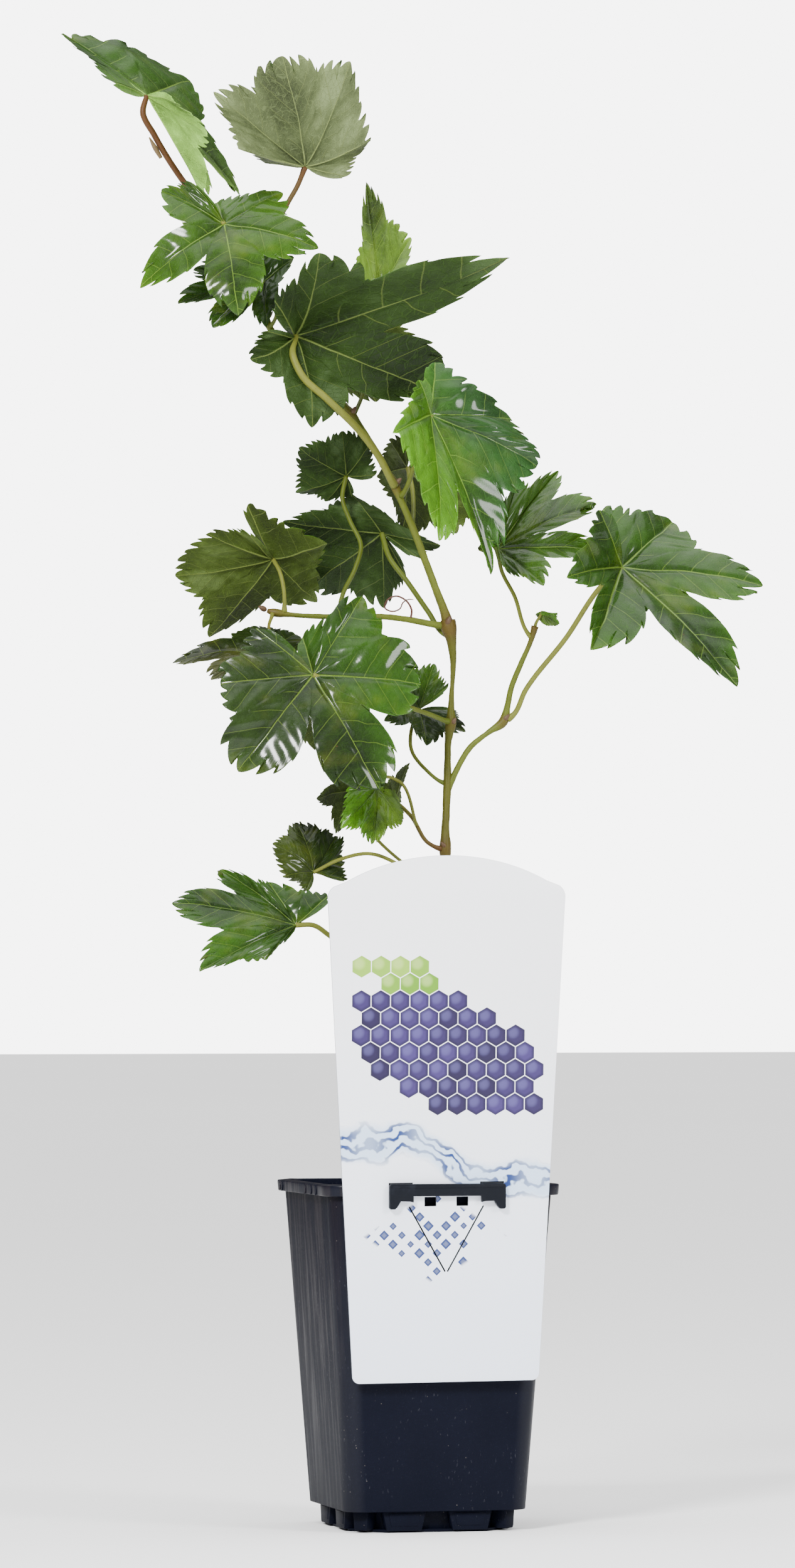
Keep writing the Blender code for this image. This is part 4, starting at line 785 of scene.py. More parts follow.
def label_print():
    """White gloss sheet with a made-up print on its front, grey with painted shade where its edge shows, and
    painted darker and bluer towards its foot as shade.
    """
    paint = Finish("label_print", Specular_IOR_Level=0.35)
    x, y, z = paint.split(paint.place((1 / MM,) * 3))
    depth = y + (z - POT_HEIGHT) * math.tan(LABEL_LEAN) + LABEL_FRONT
    front = 1 - (depth + LABEL_THICK / 2).fade(-0.1, 0.1)
    # Painted shade: grey where the label's edge and bevel show.
    painted_edge_shade = (depth + LABEL_THICK).fade(0.02, 0.14) * (1 - (depth + 0.14).fade(0.0, 0.12))
    # Painted shade: the plain sheet grows darker and bluer towards its foot.
    art = sheet = paint.mix(z.fade(80, 330), (0.77, 0.83, 0.95), (0.92, 0.93, 0.96))
    for pattern in (honeycomb, ripples, diamonds):
        art = pattern(paint, art, x, z)
    colour = paint.mix(painted_edge_shade * 0.75, paint.mix(front, sheet, art), (0.16, 0.17, 0.20))
    grain = paint.noise(1400.0, 2)
    return paint.finish(colour, 0.30 + grain * 0.08, grain, 0.06, 0.0001)


def holder_plastic():
    """Black clip plastic, finely grained, lighter where it has been rubbed."""
    paint = Finish("holder_plastic", Specular_IOR_Level=0.10)
    grain = paint.noise(2600.0)
    cloud = paint.noise(130.0)
    colour = paint.mix(cloud.fade(0.55, 0.75) * 0.5, (0.004, 0.005, 0.008), (0.012, 0.014, 0.020))
    return paint.finish(colour, 0.32 + grain * 0.2, grain + cloud * 0.4, 0.25, 0.0002)


def dry_skin():
    """The dull skin of buds, tendril and bract."""
    paint = Finish("tendril_skin", Specular_IOR_Level=0.4)
    patch = paint.noise(300.0)
    colour = paint.scaled(paint.attribute("tint"), 0.6 + patch * 0.8)
    return paint.finish(colour, 0.45 + patch * 0.3, patch, 0.4, 0.0003)


# Tools


def choose(thing):
    bpy.ops.object.select_all(action="DESELECT")
    thing.select_set(True)
    bpy.context.view_layer.objects.active = thing


def added(primitive, name, **settings):
    """A new primitive, with nothing else selected."""
    bpy.ops.object.select_all(action="DESELECT")
    primitive(**settings)
    thing = bpy.context.object
    thing.name = name
    return thing


def grid(name, across, along):
    return added(bpy.ops.mesh.primitive_grid_add, name, x_subdivisions=across, y_subdivisions=along, size=2)


def placed(name, data):
    thing = bpy.data.objects.new(name, data)
    bpy.context.scene.collection.objects.link(thing)
    return thing


def modify(thing, kind, **settings):
    """Adds a modifier to a piece and applies it."""
    choose(thing)
    change = thing.modifiers.new(kind, kind)
    for key, setting in settings.items():
        setattr(change, key, setting)
    bpy.ops.object.modifier_apply(modifier=change.name)


def soft_edges(thing, width, steps=2):
    modify(thing, "BEVEL", width=width * MM, segments=steps, limit_method="ANGLE",
           angle_limit=math.radians(38))


def weld(thing, distance, outward=True):
    """Merges doubled points."""
    bm = bmesh.new()
    bm.from_mesh(thing.data)
    bmesh.ops.remove_doubles(bm, verts=bm.verts[:], dist=distance)
    if outward:
        bmesh.ops.recalc_face_normals(bm, faces=bm.faces[:])
    bm.to_mesh(thing.data)
    bm.free()


def drawn(name, lines, distance, closed=False, **settings):
    """A mesh made from a curve along lines of places, each with its thickness there."""
    curve = bpy.data.curves.new(name, "CURVE")
    for key, setting in settings.items():
        setattr(curve, key, setting)
    for places in lines:
        line = curve.splines.new("POLY")
        line.use_cyclic_u = closed
        line.points.add(len(places) - 1)
        for point, (place, radius) in zip(line.points, places):
            point.co = (*place, 1.0)
            point.radius = radius
    choose(placed(name, curve))
    bpy.ops.object.convert(target="MESH")
    thing = bpy.context.object
    weld(thing, distance)
    return thing


def joined(name, things):
    """Several pieces made into one."""
    bpy.ops.object.select_all(action="DESELECT")
    for thing in things:
        thing.select_set(True)
    bpy.context.view_layer.objects.active = things[0]
    bpy.ops.object.join()
    things[0].name = name
    return things[0]


def painted(thing, paint, angle=None):
    """Gives a piece its material, and smooths it all over or up to an angle."""
    thing.data.materials.clear()
    thing.data.materials.append(paint)
    if angle is None:
        thing.data.shade_smooth()
    else:
        choose(thing)
        bpy.ops.object.shade_smooth_by_angle(angle=math.radians(angle))
    return thing


def settle(thing, slot, *nodes):
    """Rides on the plant, in place of its plain solids."""
    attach(thing, "root")
    if nodes:
        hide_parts(*nodes)


def clamp(value):
    return max(0.0, min(1.0, value))


def coordinates(mesh):
    flat = np.empty(len(mesh.vertices) * 3, np.float32)
    mesh.vertices.foreach_get("co", flat)
    return flat.reshape(-1, 3).astype(float)


def dye(thing, name, colours):
    """Gives each point its own colour, or all of them one."""
    layer = thing.data.color_attributes.new(name, "FLOAT_COLOR", "POINT")
    rgba = np.ones((len(thing.data.vertices), 4), np.float32)
    rgba[:, :3] = colours
    layer.data.foreach_set("color", rgba.ravel())


def dye_along(thing, ways, colours):
    """Colours tubes by the nearest point of their ways."""
    points = np.concatenate([seen_all(np.array([p[:3] for p in way])) for way in ways])
    tints = np.concatenate(colours)
    spots = coordinates(thing.data)
    tint = np.empty((len(spots), 3))
    batch = 4000
    for start in range(0, len(spots), batch):
        part = spots[start:start + batch]
        gap = ((part[:, None, :] - points[None, :, :]) ** 2).sum(2)
        tint[start:start + batch] = tints[gap.argmin(1)]
    dye(thing, "tint", tint)


# Limbs and stalks


def smooth(points, step=LIMB_STEP):
    """A smooth way through places that each carry more numbers, about a step apart."""
    spots = [Vector(point) for point in points]
    steps = [(b - a).xyz.length for a, b in zip(spots[:-1], spots[1:])]
    slopes = [(b - a) / far for a, b, far in zip(spots[:-1], spots[1:], steps)]
    ways = [slopes[0]]
    for before, after, near, far in zip(slopes[:-1], slopes[1:], steps[:-1], steps[1:]):
        ways.append((before * far + after * near) / (near + far))
    ways.append(slopes[-1])
    made = []
    for i, far in enumerate(steps):
        count = max(1, round(far / step))
        for k in range(count):
            t = k / count
            bend = ways[i] * far * (t * (1 - t) ** 2) - ways[i + 1] * far * (t * t * (1 - t))
            made.append(spots[i].lerp(spots[i + 1], t * t * (3 - 2 * t)) + bend)
    made.append(spots[-1])
    return made


def nearest(way, place):
    """The spot on a limb nearest a place, the limb's direction there and its radius."""
    best = None
    for a, b in zip(way[:-1], way[1:]):
        along = (b - a).xyz
        spot = a.lerp(b, clamp((Vector(place) - a.xyz).dot(along) / along.length_squared))
        away = (Vector(place) - spot.xyz).length
        if best is None or away < best[0]:
            best = (away, spot, along.normalized())
    return best[1].xyz, best[2], best[1][3]


def stalk_way(limb, places, radii, on_tip):
    """A stalk's way from inside a limb's skin to the joint, thicker at both ends."""
    if on_tip:
        out = (limb[-1] - limb[-2]).xyz.normalized()
        foot = limb[-1].xyz - out
    else:
        spot, along, radius = nearest(limb, places[0])
        aim = (Vector(places[1]) - spot).normalized()
        side = (aim - along * aim.dot(along)).normalized()
        foot = spot + side * (radius - STALK_SUNK)
        out = (aim + side * 0.5).normalized()
    line = [foot, foot + out * STALK_START] + [Vector(place) for place in places[1:]]
    foot_radius, radius, joint_radius = radii
    way = smooth([(*place, radius) for place in line], STALK_STEP)
    runs = [0.0]
    for a, b in zip(way[:-1], way[1:]):
        runs.append(runs[-1] + (b - a).xyz.length)
    swelled = []
    for point, far in zip(way, runs):
        foot_part = math.exp(-(far / FOOT_SWELL) ** 2)
        joint_part = math.exp(-((runs[-1] - far) / JOINT_SWELL) ** 2)
        swell = (foot_radius - radius) * foot_part + (joint_radius - radius) * joint_part
        swelled.append(Vector((*point.xyz, radius + swell)))
    return swelled


def tubes(name, ways, resolution):
    """Round limbs along ways, in one mesh."""
    lines = [[(seen(place), place[3] * STOUT) for place in way] for way in ways]
    return drawn(name, lines, 0.00002, dimensions="3D", bevel_depth=MM, bevel_resolution=resolution,
                 use_fill_caps=True)


def roughen(thing, amount):
    """Small lengthwise ridges and dents in the skin of a limb."""
    for vert in thing.data.vertices:
        spot = vert.co / MM
        ridge = noise.noise(Vector((spot.x * 1.4, spot.y * 1.4, spot.z * 0.10)))
        dent = noise.noise(spot * 0.35)
        vert.co += vert.normal * (ridge * 0.6 + dent * 0.5) * amount * MM


def limb_colours(way, woody):
    """Green, browner at the swollen nodes; bark at the stem's foot, and brown at a shoot's tip."""
    tints = []
    for i, point in enumerate(way):
        if woody:
            tint = Vector(STEM_GREEN).lerp(Vector(BARK_BROWN), clamp((BARK_TOP - point.z) / BARK_FADE))
            brown = clamp((point[3] - 2.0) / 1.2) * 0.55 if point.z > NODES_FROM else 0.0
        else:
            tint = Vector(STALK_GREEN).lerp(Vector(STALK_YELLOW), 0.25)
            end = max(0.0, 1 - (len(way) - i) / 12)
            brown = max(clamp((point[3] - 1.75) / 0.6) * 0.5, end * 0.8)
        tints.append(tint.lerp(Vector(STALK_BROWN), brown))
    return np.array(tints)


def stems():
    """The four limbs, and all the leaf stalks in one piece."""
    skin = stem_skin()
    limbs = {side: smooth(places) for side, places in LIMBS.items()}
    for side, way in limbs.items():
        woody = side == "main"
        name = "main_stem" if woody else side + "_shoot"
        thing = tubes(name + "_skin", [way], 6)
        dye_along(thing, [way], [limb_colours(way, woody)])
        roughen(thing, 0.35 if woody else 0.18)
        settle(painted(thing, skin), "main_stem_bark" if woody else "green_stem", name)
    forked = LEAVES[FORKED_STALK][2][1]
    limbs["small"] = smooth([(*place, 1.0) for place in forked])
    ways, colours = [], []
    for name, (joint, _, (limb, places, radii, (first, last))) in LEAVES.items():
        way = stalk_way(limbs[limb], [*places, joint], radii, name in TIP_LEAVES)
        ways.append(way)
        share = np.linspace(0, 1, len(way))[:, None]
        colours.append(np.array(first) * (1 - share) + np.array(last) * share)
    thing = tubes("leaf_stalks", ways, 3)
    dye_along(thing, ways, colours)
    settle(painted(thing, skin), "green_stem")


def buds():
    """Plump pointed winter buds beside the swollen nodes."""
    pieces = []
    for place, way, size in BUDS:
        bud = added(bpy.ops.mesh.primitive_uv_sphere_add, "bud", segments=20, ring_count=14, radius=1)
        aim = (seen(Vector(way)) - seen((0, 0, 0))).to_track_quat("Z", "Y").to_matrix()
        seat = seen(place)
        for vert in bud.data.vertices:
            along = (vert.co.z + 1) / 2
            slim = 1 - 0.55 * along ** 2
            ribbed = 1 + 0.08 * math.cos(3 * math.atan2(vert.co.y, vert.co.x)) * along
            shaped = Vector((vert.co.x * slim * ribbed, vert.co.y * slim * ribbed, along * 3.0 - 0.5))
            vert.co = seat + aim @ (shaped * size * MM)
        dye(bud, "tint", BUD_BROWN)
        pieces.append(bud)
    settle(painted(joined("buds", pieces), dry_skin()), "green_stem")


def tendril():
    """The dry curl and the bract."""
    ways = [smooth(line, 0.5) for line in (TENDRIL, BRACT)]
    thing = tubes("tendril", ways, 4)
    dye_along(thing, ways, [[CURL_RED] * len(ways[0]), [BRACT_TAN] * len(ways[1])])
    settle(painted(thing, dry_skin()), "green_stem")


# Leaf blades


def blade_edge(bays, chance, coarse, full):
    """Round the edge: angle, reach at the tooth tips, how deep each place is cut, and its lean."""
    bend = FULL_BEND if full else LOBE_BEND
    last, least = EAR_END
    depths = (EAR_BAY, *bays, EAR_BAY)
    stops = [(-last, least)]
    for k, lobe in enumerate(zip(LOBE_ANGLES, LOBE_REACH)):
        stops.append(lobe)
        if k < len(depths):
            stops.append(((LOBE_ANGLES[k] + LOBE_ANGLES[k + 1]) / 2, depths[k]))
    stops.append((last, least))
    rows = []
    for (a0, r0), (a1, r1), teeth in zip(stops[:-1], stops[1:], TEETH):
        high, low = max(r0, r1), min(r0, r1)
        blunt = FULL_BLUNT if full else min(0.8, 0.30 + 0.6 * (1 - low / high))
        deep = [chance.uniform(0.55, 1.45) for _ in range(teeth + 1)]
        long = [chance.uniform(0.7, 1.3) for _ in range(teeth)]
        ends = [sum(long[:k]) / sum(long) for k in range(teeth)] + [1.0]
        outward = 1 if r0 > r1 else -1
        for i in range(teeth * TOOTH_STEPS):
            f = i / (teeth * TOOTH_STEPS)
            s = f if r0 > r1 else 1 - f
            if last in (abs(a0), abs(a1)):
                shape = 1 - s ** EAR_BEND
                fade = 1 - s
            else:
                shape = (1 - blunt) * (1 - s) + blunt * (1 - s ** bend)
                fade = 1 - 0.35 * s
            number = max(k for k in range(teeth) if s >= ends[k] - 1e-6)
            part = (s - ends[number]) / (ends[number + 1] - ends[number])
            if part < TOOTH_BACK:
                cut = (part / TOOTH_BACK) ** 1.9
            else:
                cut = max(0.0, (1 - part) / (1 - TOOTH_BACK)) ** 0.8
            depth = coarse * deep[number] * fade * cut
            lean = -outward * (1 - cut) * (TOOTH_LEAN * deep[number] if number else 0.0) * fade
            rows.append((a0 + (a1 - a0) * f, low + (high - low) * shape, depth, lean))
    rows.append((last, least, 0.0, 0.0))
    return np.array(rows)


class Blade:
    """A lobed, toothed blade hung between its vein tips."""

    def __init__(self, joint, tips, bow, waves):
        self.joint = Vector(joint)
        self.bow, self.waves = bow, waves
        tips = [Vector(tip) - self.joint for tip in tips]
        reach = LOBE_REACH if len(tips) == 7 else LOBE_REACH[1:-1]
        arms = [tip / far for tip, far in zip(tips, reach)]
        up = Vector((0, 0, 0))
        for a, b in zip(arms[:-1], arms[1:]):
            up += b.cross(a)
        self.up = up.normalized()
        self.size = sum(arm.length for arm in arms) / len(arms)
        self.arms = [(tip - self.up * self.arch(far)) / far for tip, far in zip(tips, reach)]
        if len(tips) == 5:
            sweep = sum(a.angle(b) for a, b in zip(self.arms[:-1], self.arms[1:]))
            most = (math.radians(FULL_SWEEP) - sweep) / (2 + 2 * EAR_PAST / EAR_TURN)
            turn = min(math.radians(EAR_TURN), most)
            self.arms = [self.ear(0, 1, turn)] + self.arms + [self.ear(-1, -2, turn)]

    def ear(self, last, before, turn):
        """The short arm behind the lowest vein, going on round in its plane."""
        arm, other = self.arms[last], self.arms[before]
        away = arm * math.cos(arm.angle(other)) - other * arm.length / other.length
        return arm * math.cos(turn) + away.normalized() * arm.length * math.sin(turn)

    def arch(self, reach):
        return self.bow * 4 * reach * (1 - reach)

    def place(self, angle, reach):
        """The blade's smooth middle surface at angles and reaches."""
        angles = np.array(LOBE_ANGLES, float)
        arms = np.array(self.arms)
        k = np.clip(np.searchsorted(angles, angle, side="right") - 1, 0, len(angles) - 2)
        wide = angles[k + 1] - angles[k]
        turn = np.radians(wide)
        t = (angle - angles[k]) / wide
        first = (np.sin((1 - t) * turn) / np.sin(turn))[..., None]
        second = (np.sin(t * turn) / np.sin(turn))[..., None]
        arm = arms[k] * first + arms[k + 1] * second
        between = np.sin(np.pi * np.clip(t, 0, 1)) ** 2
        lift = self.arch(reach) + PUFF * self.size * between * reach
        lift += WAVE * self.size * np.sin(np.radians(self.waves * angle)) * reach ** 2
        lift += EAR_APART * self.size * (angle / LOBE_ANGLES[-1]) ** 5 * np.sqrt(reach)
        return np.array(self.joint) + arm * reach[..., None] + np.array(self.up) * lift[..., None]

    def relief(self, angle, reach, phase):
        """Veins drawn in, the blade puffed up between them and the margin waved."""
        local = angle - np.round(angle / VEIN_APART) * VEIN_APART
        along = reach * np.cos(np.radians(local))
        across = np.abs(reach * np.sin(np.radians(local)))
        slant = across * SIDE_VEIN_SLANT + across ** 2 * SIDE_VEIN_CURVE
        row = (along - slant) / SIDE_VEIN_APART + 0.5 * (local > 0)
        swell = 1 - (2 * np.abs(row % 1 - 0.5)) ** 2
        lift = -VEIN_SUNK * np.exp(-(across / VEIN_WIDE) ** 2) * np.clip(reach / 0.1, 0, 1)
        lift += PLEAT * (1 - swell ** 2) * np.clip(across / 0.10, 0, 1) * np.clip(reach / 0.25, 0, 1)
        for high, count, share, start in RIM_WAVES:
            grown = np.clip((reach - start) / 0.4, 0, 1) ** 2
            lift += high * np.sin(np.radians(angle * count) + phase * share) * grown
        x, y = reach * np.sin(np.radians(angle)), reach * np.cos(np.radians(angle))
        for k in range(CRUMPLES):
            way = phase * (2 + k) + k
            wave = (5 + 3.5 * k) * (x * math.cos(way) + y * math.sin(way))
            lift += CRUMPLE / (2 + k) ** 1.4 * np.sin(wave + way * 5) * np.clip(reach / 0.2, 0, 1)
        return lift * self.size

    def shaped(self, angle, reach, phase):
        """The blade's places with the relief raised along its own normals."""
        places = self.place(angle, reach)
        up = np.array(self.up)
        normal = np.cross(np.gradient(places, axis=1), np.gradient(places, axis=0))
        length = np.linalg.norm(normal, axis=2, keepdims=True)
        normal = np.where(length > 1e-4, normal / np.maximum(length, 1e-9), up)
        if (normal[:, normal.shape[1] // 2] @ up).mean() < 0:
            normal = -normal
        normal[:, :2] = up
        return places + normal * self.relief(angle, reach, phase)[..., None]


def blade(name, paints):
    """One blade: a grid laid out to the toothed outline, shaped, coloured and thickened."""
    joint, (tips, bays, bow, colours), _ = LEAVES[name]
    chance = random.Random(name + "_blade")
    form = Blade(joint, tips, bow, LEAF_WAVES.get(name, BLADE_WAVES))
    rings, coarse = LARGE_BLADE if form.size > LARGE_LEAF else SMALL_BLADE
    edge = blade_edge(bays, chance, coarse, name in FULL_LEAVES)
    spokes = len(edge) - 1
    thing = grid(name + "_blade", spokes, rings)
    flat = coordinates(thing.data)
    spoke = np.rint((flat[:, 0] + 1) / 2 * spokes).astype(int)
    ring = np.rint((flat[:, 1] + 1) / 2 * rings).astype(int)
    out = 1 - (1 - np.linspace(0, 1, rings + 1)) ** RING_CROWD
    near_edge = np.clip((out - TEETH_FROM) / (1 - TEETH_FROM), 0, 1)
    near_edge = near_edge ** 2 * (3 - 2 * near_edge)
    turns, reaches, cuts, leans = (column[:, None] for column in edge.T)
    angle = turns + leans * near_edge
    reach = np.maximum(reaches * out - cuts * near_edge, 0)
    places = form.shaped(angle, reach, chance.uniform(0, 6))
    thing.data.vertices.foreach_set("co", seen_all(places[spoke, ring]).astype(np.float32).ravel())
    a, r = np.radians(angle[spoke, ring]), reach[spoke, ring]
    x, y = r * np.sin(a), r * np.cos(a)
    loops = np.empty(len(thing.data.loops), np.int32)
    thing.data.loops.foreach_get("vertex_index", loops)
    spots = np.stack([0.5 + x[loops] / UV_SPAN, 0.5 + y[loops] / UV_SPAN], 1)
    thing.data.uv_layers.active.data.foreach_set("uv", spots.astype(np.float32).ravel())
    left, right, under = (np.array(colour) for colour in colours)
    side = 1 / (1 + np.exp(-x / 0.10))
    # Painted highlight: the margins are painted lighter on both the upper and under sides.
    rim = np.clip((out[ring] - 0.90) / 0.10, 0, 1)[:, None]
    dye(thing, "tint", (left + (right - left) * side[:, None]) * (1 + 0.45 * rim))
    dye(thing, "under", under * (1 + 0.3 * rim))
    thing.data.update()
    facing = sum((face.normal * face.area for face in thing.data.polygons), Vector((0, 0, 0)))
    if facing.dot(seen(form.up) - seen((0, 0, 0))) < 0:
        thing.data.flip_normals()
    weld(thing, 0.000002, outward=False)
    for paint in paints:
        thing.data.materials.append(paint)
    modify(thing, "SOLIDIFY", thickness=BLADE_THICK * MM, offset=0, material_offset=1)
    thing.data.shade_smooth()
    return thing


def leaves():
    """Every blade, in place of its plain solid."""
    paints = (leaf_upper(), leaf_under())
    for name in LEAVES:
        node = SHARED_NODES.get(name, name)
        settle(blade(name, paints), "fresh_leaf" if node in FRESH_LEAVES else "deep_leaf", node)


# Pot, soil, label and holder


def pick(thing, kind, test):
    """Selects some of a mesh's edges or faces for the edit-mode tools."""
    choose(thing)
    bpy.ops.object.mode_set(mode="EDIT")
    bpy.ops.mesh.select_mode(type=kind)
    bpy.ops.mesh.select_all(action="DESELECT")
    bpy.ops.object.mode_set(mode="OBJECT")
    for part in thing.data.edges if kind == "EDGE" else thing.data.polygons:
        part.select = test(part)
    bpy.ops.object.mode_set(mode="EDIT")


def box(name, corner):
    """A block whose eight corners lie where corner says for right, back and top."""
    thing = added(bpy.ops.mesh.primitive_cube_add, name, size=2)
    for vert in thing.data.vertices:
        vert.co = Vector(corner(*(part > 0 for part in vert.co))) * MM
    return thing


def tapered_box(name, foot_half, top_half, low, high, corner, steps):
    """A square block that widens upward, its upright edges rounded."""
    def place(right, back, top):
        half = top_half if top else foot_half
        return half if right else -half, half if back else -half, high if top else low

    def upright(edge):
        a, b = (thing.data.vertices[k].co for k in edge.vertices)
        return abs(a.z - b.z) > 0.6 * (a - b).length and abs(a.z - b.z) > 0.2 * MM

    thing = box(name, place)
    pick(thing, "EDGE", upright)
    bpy.ops.mesh.bevel(offset=corner * MM, segments=steps, profile=0.5, affect="EDGES")
    bpy.ops.object.mode_set(mode="OBJECT")
    return thing


def block(name, middle, half, front, back, low, high, taper=1.0, soft=None):
    """A block that may be narrower at the foot and have softened edges."""
    def place(right, behind, top):
        wide = half if top else half * taper
        return middle + (wide if right else -wide), back if behind else front, high if top else low

    thing = box(name, place)
    if soft:
        soft_edges(thing, soft)
    return thing


def open_ends(thing, foot=True):
    """Takes off the top of a box, and its foot too."""
    pick(thing, "FACE", lambda face: face.normal.z > 0.9 or (foot and face.normal.z < -0.9))
    bpy.ops.mesh.delete(type="FACE")
    bpy.ops.object.mode_set(mode="OBJECT")


def turned(thing, angle):
    thing.data.transform(Matrix.Rotation(angle, 4, "Z"))
    return thing


def mould_mark(y):
    """A thin crescent standing out of the left side of the lip."""
    mark = added(bpy.ops.mesh.primitive_torus_add, "mark", major_segments=36, minor_segments=10,
                 major_radius=MARK_RADIUS * MM, minor_radius=MARK_THICK * MM)
    bpy.ops.object.mode_set(mode="EDIT")
    bpy.ops.mesh.select_all(action="SELECT")
    bpy.ops.mesh.bisect(plane_co=(-MARK_CUT * MM, 0, 0), plane_no=(1, 0, 0), use_fill=True, clear_outer=True)
    bpy.ops.object.mode_set(mode="OBJECT")
    quarter = math.radians(90)
    mark.data.transform(Matrix.Rotation(quarter, 4, "Z") @ Matrix.Rotation(quarter, 4, "X"))
    middle = Vector((-RIM_HALF + MARK_SUNK, y, POT_HEIGHT - RIM_DEEP / 2))
    mark.data.transform(Matrix.Translation(middle * MM))
    return mark


def pot():
    """A square pot: hollow body, turned-out rim, and a foot of lugs with panels round a plinth."""
    rim_foot, steps = POT_HEIGHT - RIM_DEEP, CORNER_STEPS
    body = tapered_box("pot_body", BODY_FOOT_HALF, BODY_TOP_HALF, PLINTH_HIGH, rim_foot + 1, CORNER, steps)
    open_ends(body, foot=False)
    modify(body, "SOLIDIFY", thickness=WALL * MM, offset=-1)
    soft_edges(body, 0.5)
    rim = tapered_box("pot_rim", RIM_HALF - 0.4, RIM_HALF, rim_foot, POT_HEIGHT, RIM_CORNER, steps)
    open_ends(rim)
    modify(rim, "SOLIDIFY", thickness=(RIM_HALF - RIM_INSIDE) * MM, offset=-1)
    soft_edges(rim, 0.7, 3)
    plinth_top = PLINTH_HIGH + 0.5
    plinth = tapered_box("plinth", PLINTH_HALF - 1, PLINTH_HALF, PLINTH_FOOT, plinth_top, RIM_CORNER, 1)
    soft_edges(plinth, 0.4)
    sole = tapered_box("sole", SOLE_HALF - 0.6, SOLE_HALF, 0.0, SOLE_HIGH, SOLE_CORNER, 1)
    soft_edges(sole, 0.35)
    pieces = [body, rim, plinth, sole]
    for side in range(4):
        turn = math.radians(90 * side)
        for middle in LUGS_AT:
            pieces.append(turned(block("lug", middle, *LUG, soft=0.6), turn))
            pieces.append(turned(block("panel", middle, *PANEL, soft=0.3), turn))
        pieces.append(turned(block("corner", 0, *FOOT_CORNER, soft=0.6), turn + math.radians(45)))
        if side != 1:
            pieces += [turned(mould_mark(y), turn) for y in MOULD_MARKS]
    settle(painted(joined("pot_shell", pieces), pot_plastic(), 32), "pot_plastic", "pot")


def rounded_reach(x, y):
    """How far the soil's rounded square reaches along a direction, for a square of half side 1."""
    long, short = max(abs(x), abs(y)), min(abs(x), abs(y))
    inner = SOIL_HALF - SOIL_CORNER
    if long == 0 or short / long * SOIL_HALF <= inner:
        return SOIL_HALF
    short = short / long
    both, square = inner * (1 + short), 1 + short ** 2
    return (both + math.sqrt(both ** 2 - square * (2 * inner ** 2 - SOIL_CORNER ** 2))) / square


def soil():
    """A crumbled top in the pot with lumps of bark and peat on it."""
    chance = random.Random(5)
    bed = grid("bed", SOIL_GRID, SOIL_GRID)
    stem_foot = Vector((*LIMBS["main"][0][:2], 0))
    for vert in bed.data.vertices:
        spot = vert.co * rounded_reach(vert.co.x, vert.co.y)
        height = sum(noise.noise(spot * scale) * high for scale, high in SOIL_ROUGH)
        near = max(0.0, 1 - (spot - stem_foot).length / MOUND_HALF)
        edge = max(abs(vert.co.x), abs(vert.co.y))
        height += near * MOUND_HIGH - max(0.0, edge - EDGE_FROM) * EDGE_FALL
        vert.co = Vector((spot.x, spot.y, SOIL_TOP + SOIL_BASE + height)) * MM
    modify(bed, "SOLIDIFY", thickness=SOIL_THICK * MM, offset=-1)
    dye(bed, "tint", PEAT)
    pieces = [bed]
    half = LUMPS_HALF
    for _ in range(LUMPS):
        lump = added(bpy.ops.mesh.primitive_ico_sphere_add, "lump", subdivisions=3, radius=1)
        size = Vector((chance.uniform(1.0, 2.9), chance.uniform(0.8, 2.0), chance.uniform(0.5, 1.2)))
        spot = Vector((chance.uniform(-half, half), chance.uniform(-half, half), SOIL_TOP - LUMPS_SUNK))
        turn = Matrix.Rotation(chance.uniform(0, 6.28), 3, "Z")
        turn = turn @ Matrix.Rotation(chance.uniform(-0.4, 0.4), 3, "X")
        for vert in lump.data.vertices:
            rough = 1 + 0.45 * noise.noise(vert.co * 1.6 + spot)
            vert.co = (turn @ (vert.co * size * rough) + spot) * MM
        dye(lump, "tint", chance.choice(LUMP_SHADES))
        pieces.append(lump)
    settle(painted(joined("soil_crumbs", pieces), potting_soil()), "potting_soil", "soil")


def arc(x, z, radius, start, stop, steps=10):
    """Places along part of a circle, in degrees from the right."""
    angles = [math.radians(start + (stop - start) * i / steps) for i in range(steps + 1)]
    return [(x + radius * math.cos(a), z + radius * math.sin(a)) for a in angles]


def label_outline():
    """Arched head, straight sides that draw in a little, and rounded foot."""
    edge = arc(LABEL_FOOT_HALF - FOOT_ROUND, LABEL_FOOT + FOOT_ROUND, FOOT_ROUND, -90, 0)
    edge += arc(LABEL_TOP_HALF - SHOULDER_ROUND, LABEL_TOP - SHOULDER_DROP, SHOULDER_ROUND, 0, SHOULDER_TURN)
    for k in range(HEAD_STEPS + 1):
        x = HEAD_HALF * (1 - k / HEAD_STEPS)
        edge.append((x, LABEL_TOP - HEAD_BEND * x * x * (1 + (x / HEAD_FALL) ** 2)))
    return edge + [(-x, z) for x, z in reversed(edge[:-1])]


def slab(name, outline, thick, edge):
    """A flat plate with the given front outline and softened edges, its back on y = 0."""
    line = [((x * MM, z * MM, 0.0), 1.0) for x, z in outline]
    thing = drawn(name, [line], 0.00001, closed=True, dimensions="2D", fill_mode="BOTH", bevel_resolution=2,
                  extrude=(thick / 2 - edge) * MM, bevel_depth=edge * MM, offset=-edge * MM)
    stood = Matrix.Translation((0, -thick * MM / 2, 0)) @ Matrix.Rotation(math.radians(90), 4, "X")
    thing.data.transform(stood)
    return thing


def cut_out(thing, tools):
    """Cuts each tool's shape out of a piece."""
    for tool in tools:
        modify(thing, "BOOLEAN", operation="DIFFERENCE", object=tool)
        bpy.data.objects.remove(tool)


